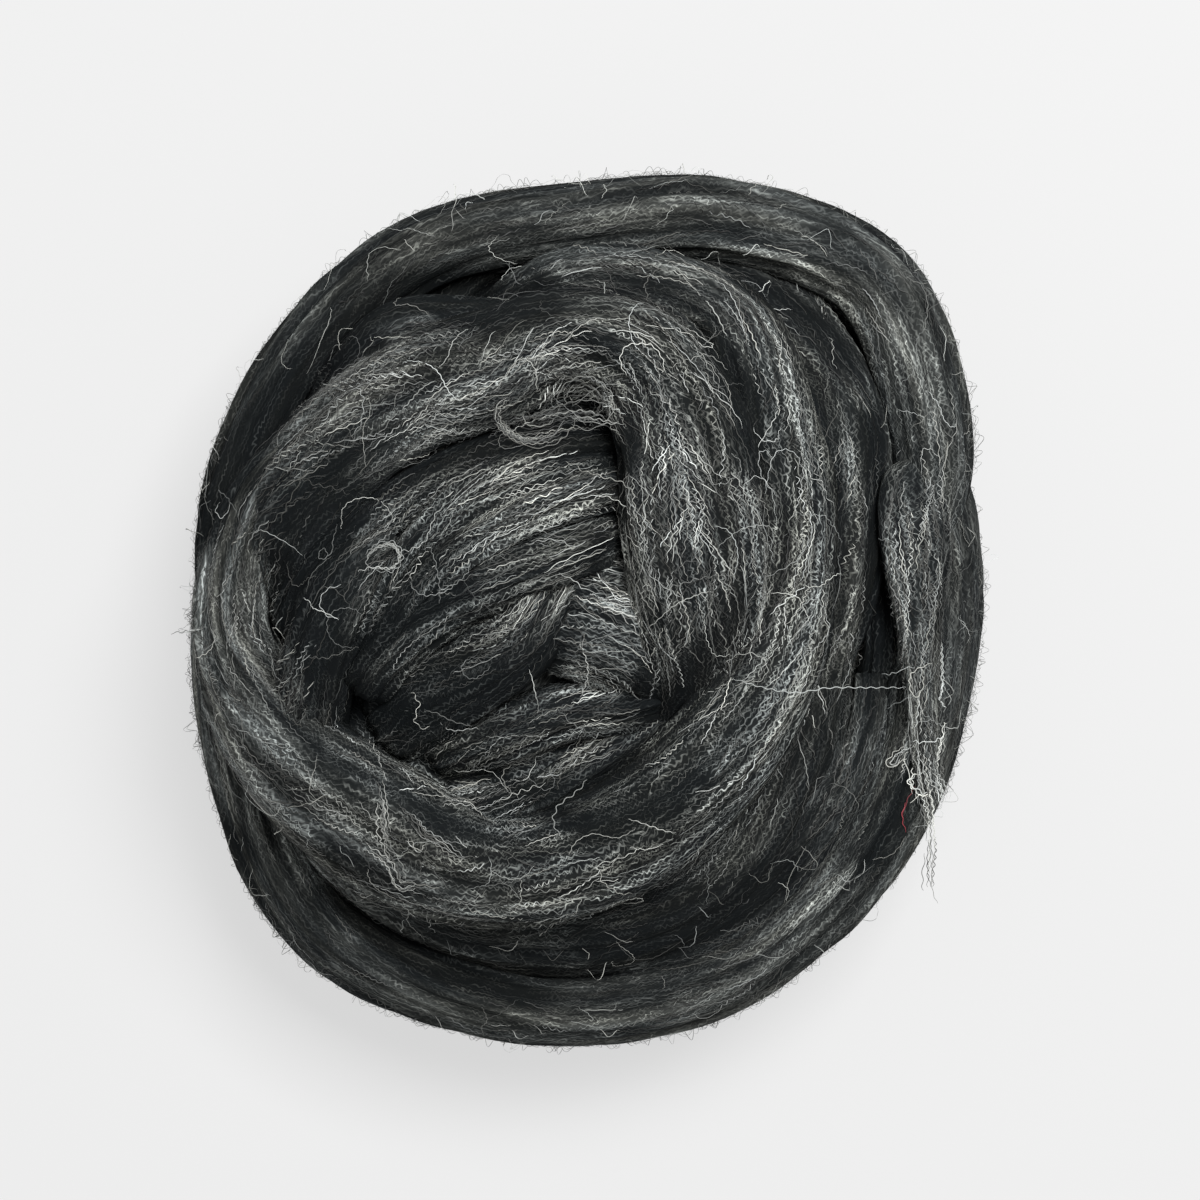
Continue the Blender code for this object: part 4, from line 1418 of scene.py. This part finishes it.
def fibre_material(name, dye):
    """A dull fibre as light as its own shade, in a dye."""
    material, shader = new_material(name, roughness=0.6, specular=0.3)
    tree = material.node_tree
    _, places = map_places(tree, "shade")
    ramp = tree.nodes.new("ShaderNodeValToRGB")
    tree.links.new(places[0], ramp.inputs[0])
    stops = ramp.color_ramp.elements
    for position, _ in SHADES[1:-1]:
        stops.new(position)
    for stop, (_, value) in zip(stops, SHADES):
        stop.color = [value * part for part in dye] + [1]
    tree.links.new(tinted(tree, ramp.outputs[0], places[1]), shader.inputs["Base Color"])
    return material


fibre_wool = fibre_material("Pale fibres", WOOL_WHITE)
red_wool = fibre_material("Dyed fibres", RED_DYE)
for piece in [*fibre_pieces.values(), dyed_hair]:
    piece.data.materials.clear()
    piece.data.materials.append(red_wool if piece is dyed_hair else fibre_wool)
print(len(fibre_pieces), "pieces of pale fibres, and one of dyed ones")

# %% [markdown]
# ## Table, light and camera
# The photograph was taken from straight above on a white table, with a large soft light overhead. The
# table glows a little, so that the ball's shadow on it is as faint as in the photograph.

# %% The table
TABLE_REACH = 1.5
TABLE_GREY, TABLE_GLOW = 0.18, 0.62

bm = bmesh.new()
bmesh.ops.create_grid(bm, x_segments=1, y_segments=1, size=TABLE_REACH)
table = placed("table", mesh_of(bm, "table"))
white, shader = new_material("White table", roughness=0.9, specular=0.1)
shader.inputs["Base Color"].default_value = (TABLE_GREY, TABLE_GREY, TABLE_GREY, 1)
shader.inputs["Emission Color"].default_value = (1, 1, 1, 1)
shader.inputs["Emission Strength"].default_value = TABLE_GLOW
table.data.materials.append(white)

# %% The light
ROOM_LIGHT = 0.42
LAMP_PLACE, LAMP_AIM = Vector((0.35, 0.5, 1.3)), Vector((0, 0, 0.05))
LAMP_POWER, LAMP_SIZE = 24, 0.6

world = bpy.data.worlds.new("Room")
world.use_nodes = True
room = world.node_tree.nodes["Background"]
room.inputs["Color"].default_value = (1, 1, 1, 1)
room.inputs["Strength"].default_value = ROOM_LIGHT
bpy.context.scene.world = world

light = placed("overhead", bpy.data.lights.new("overhead", "AREA"))
light.data.energy, light.data.size = LAMP_POWER, LAMP_SIZE
light.location = LAMP_PLACE
light.rotation_euler = (LAMP_AIM - LAMP_PLACE).to_track_quat("-Z", "Y").to_euler()
print("a lamp of", LAMP_POWER, "W in a room of strength", ROOM_LIGHT)

# %% The camera
SENSOR_MM, LENS_MM = 36, 98.76

camera = placed("camera", bpy.data.cameras.new("camera"))
camera.location = EYE
camera.data.sensor_width = SENSOR_MM
camera.data.lens = LENS_MM
camera.data.clip_start = 10 * MM
bpy.context.scene.camera = camera
bpy.context.scene.view_settings.view_transform = "Standard"
print("camera at", [round(float(n) / MM, 1) for n in EYE], "mm with a lens of", LENS_MM, "mm")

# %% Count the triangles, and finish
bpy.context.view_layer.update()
pieces = [*wool_pieces.values(), heart, loose_end, *fibre_pieces.values(), dyed_hair]
print("triangles:", sum(triangles(piece) for piece in pieces))
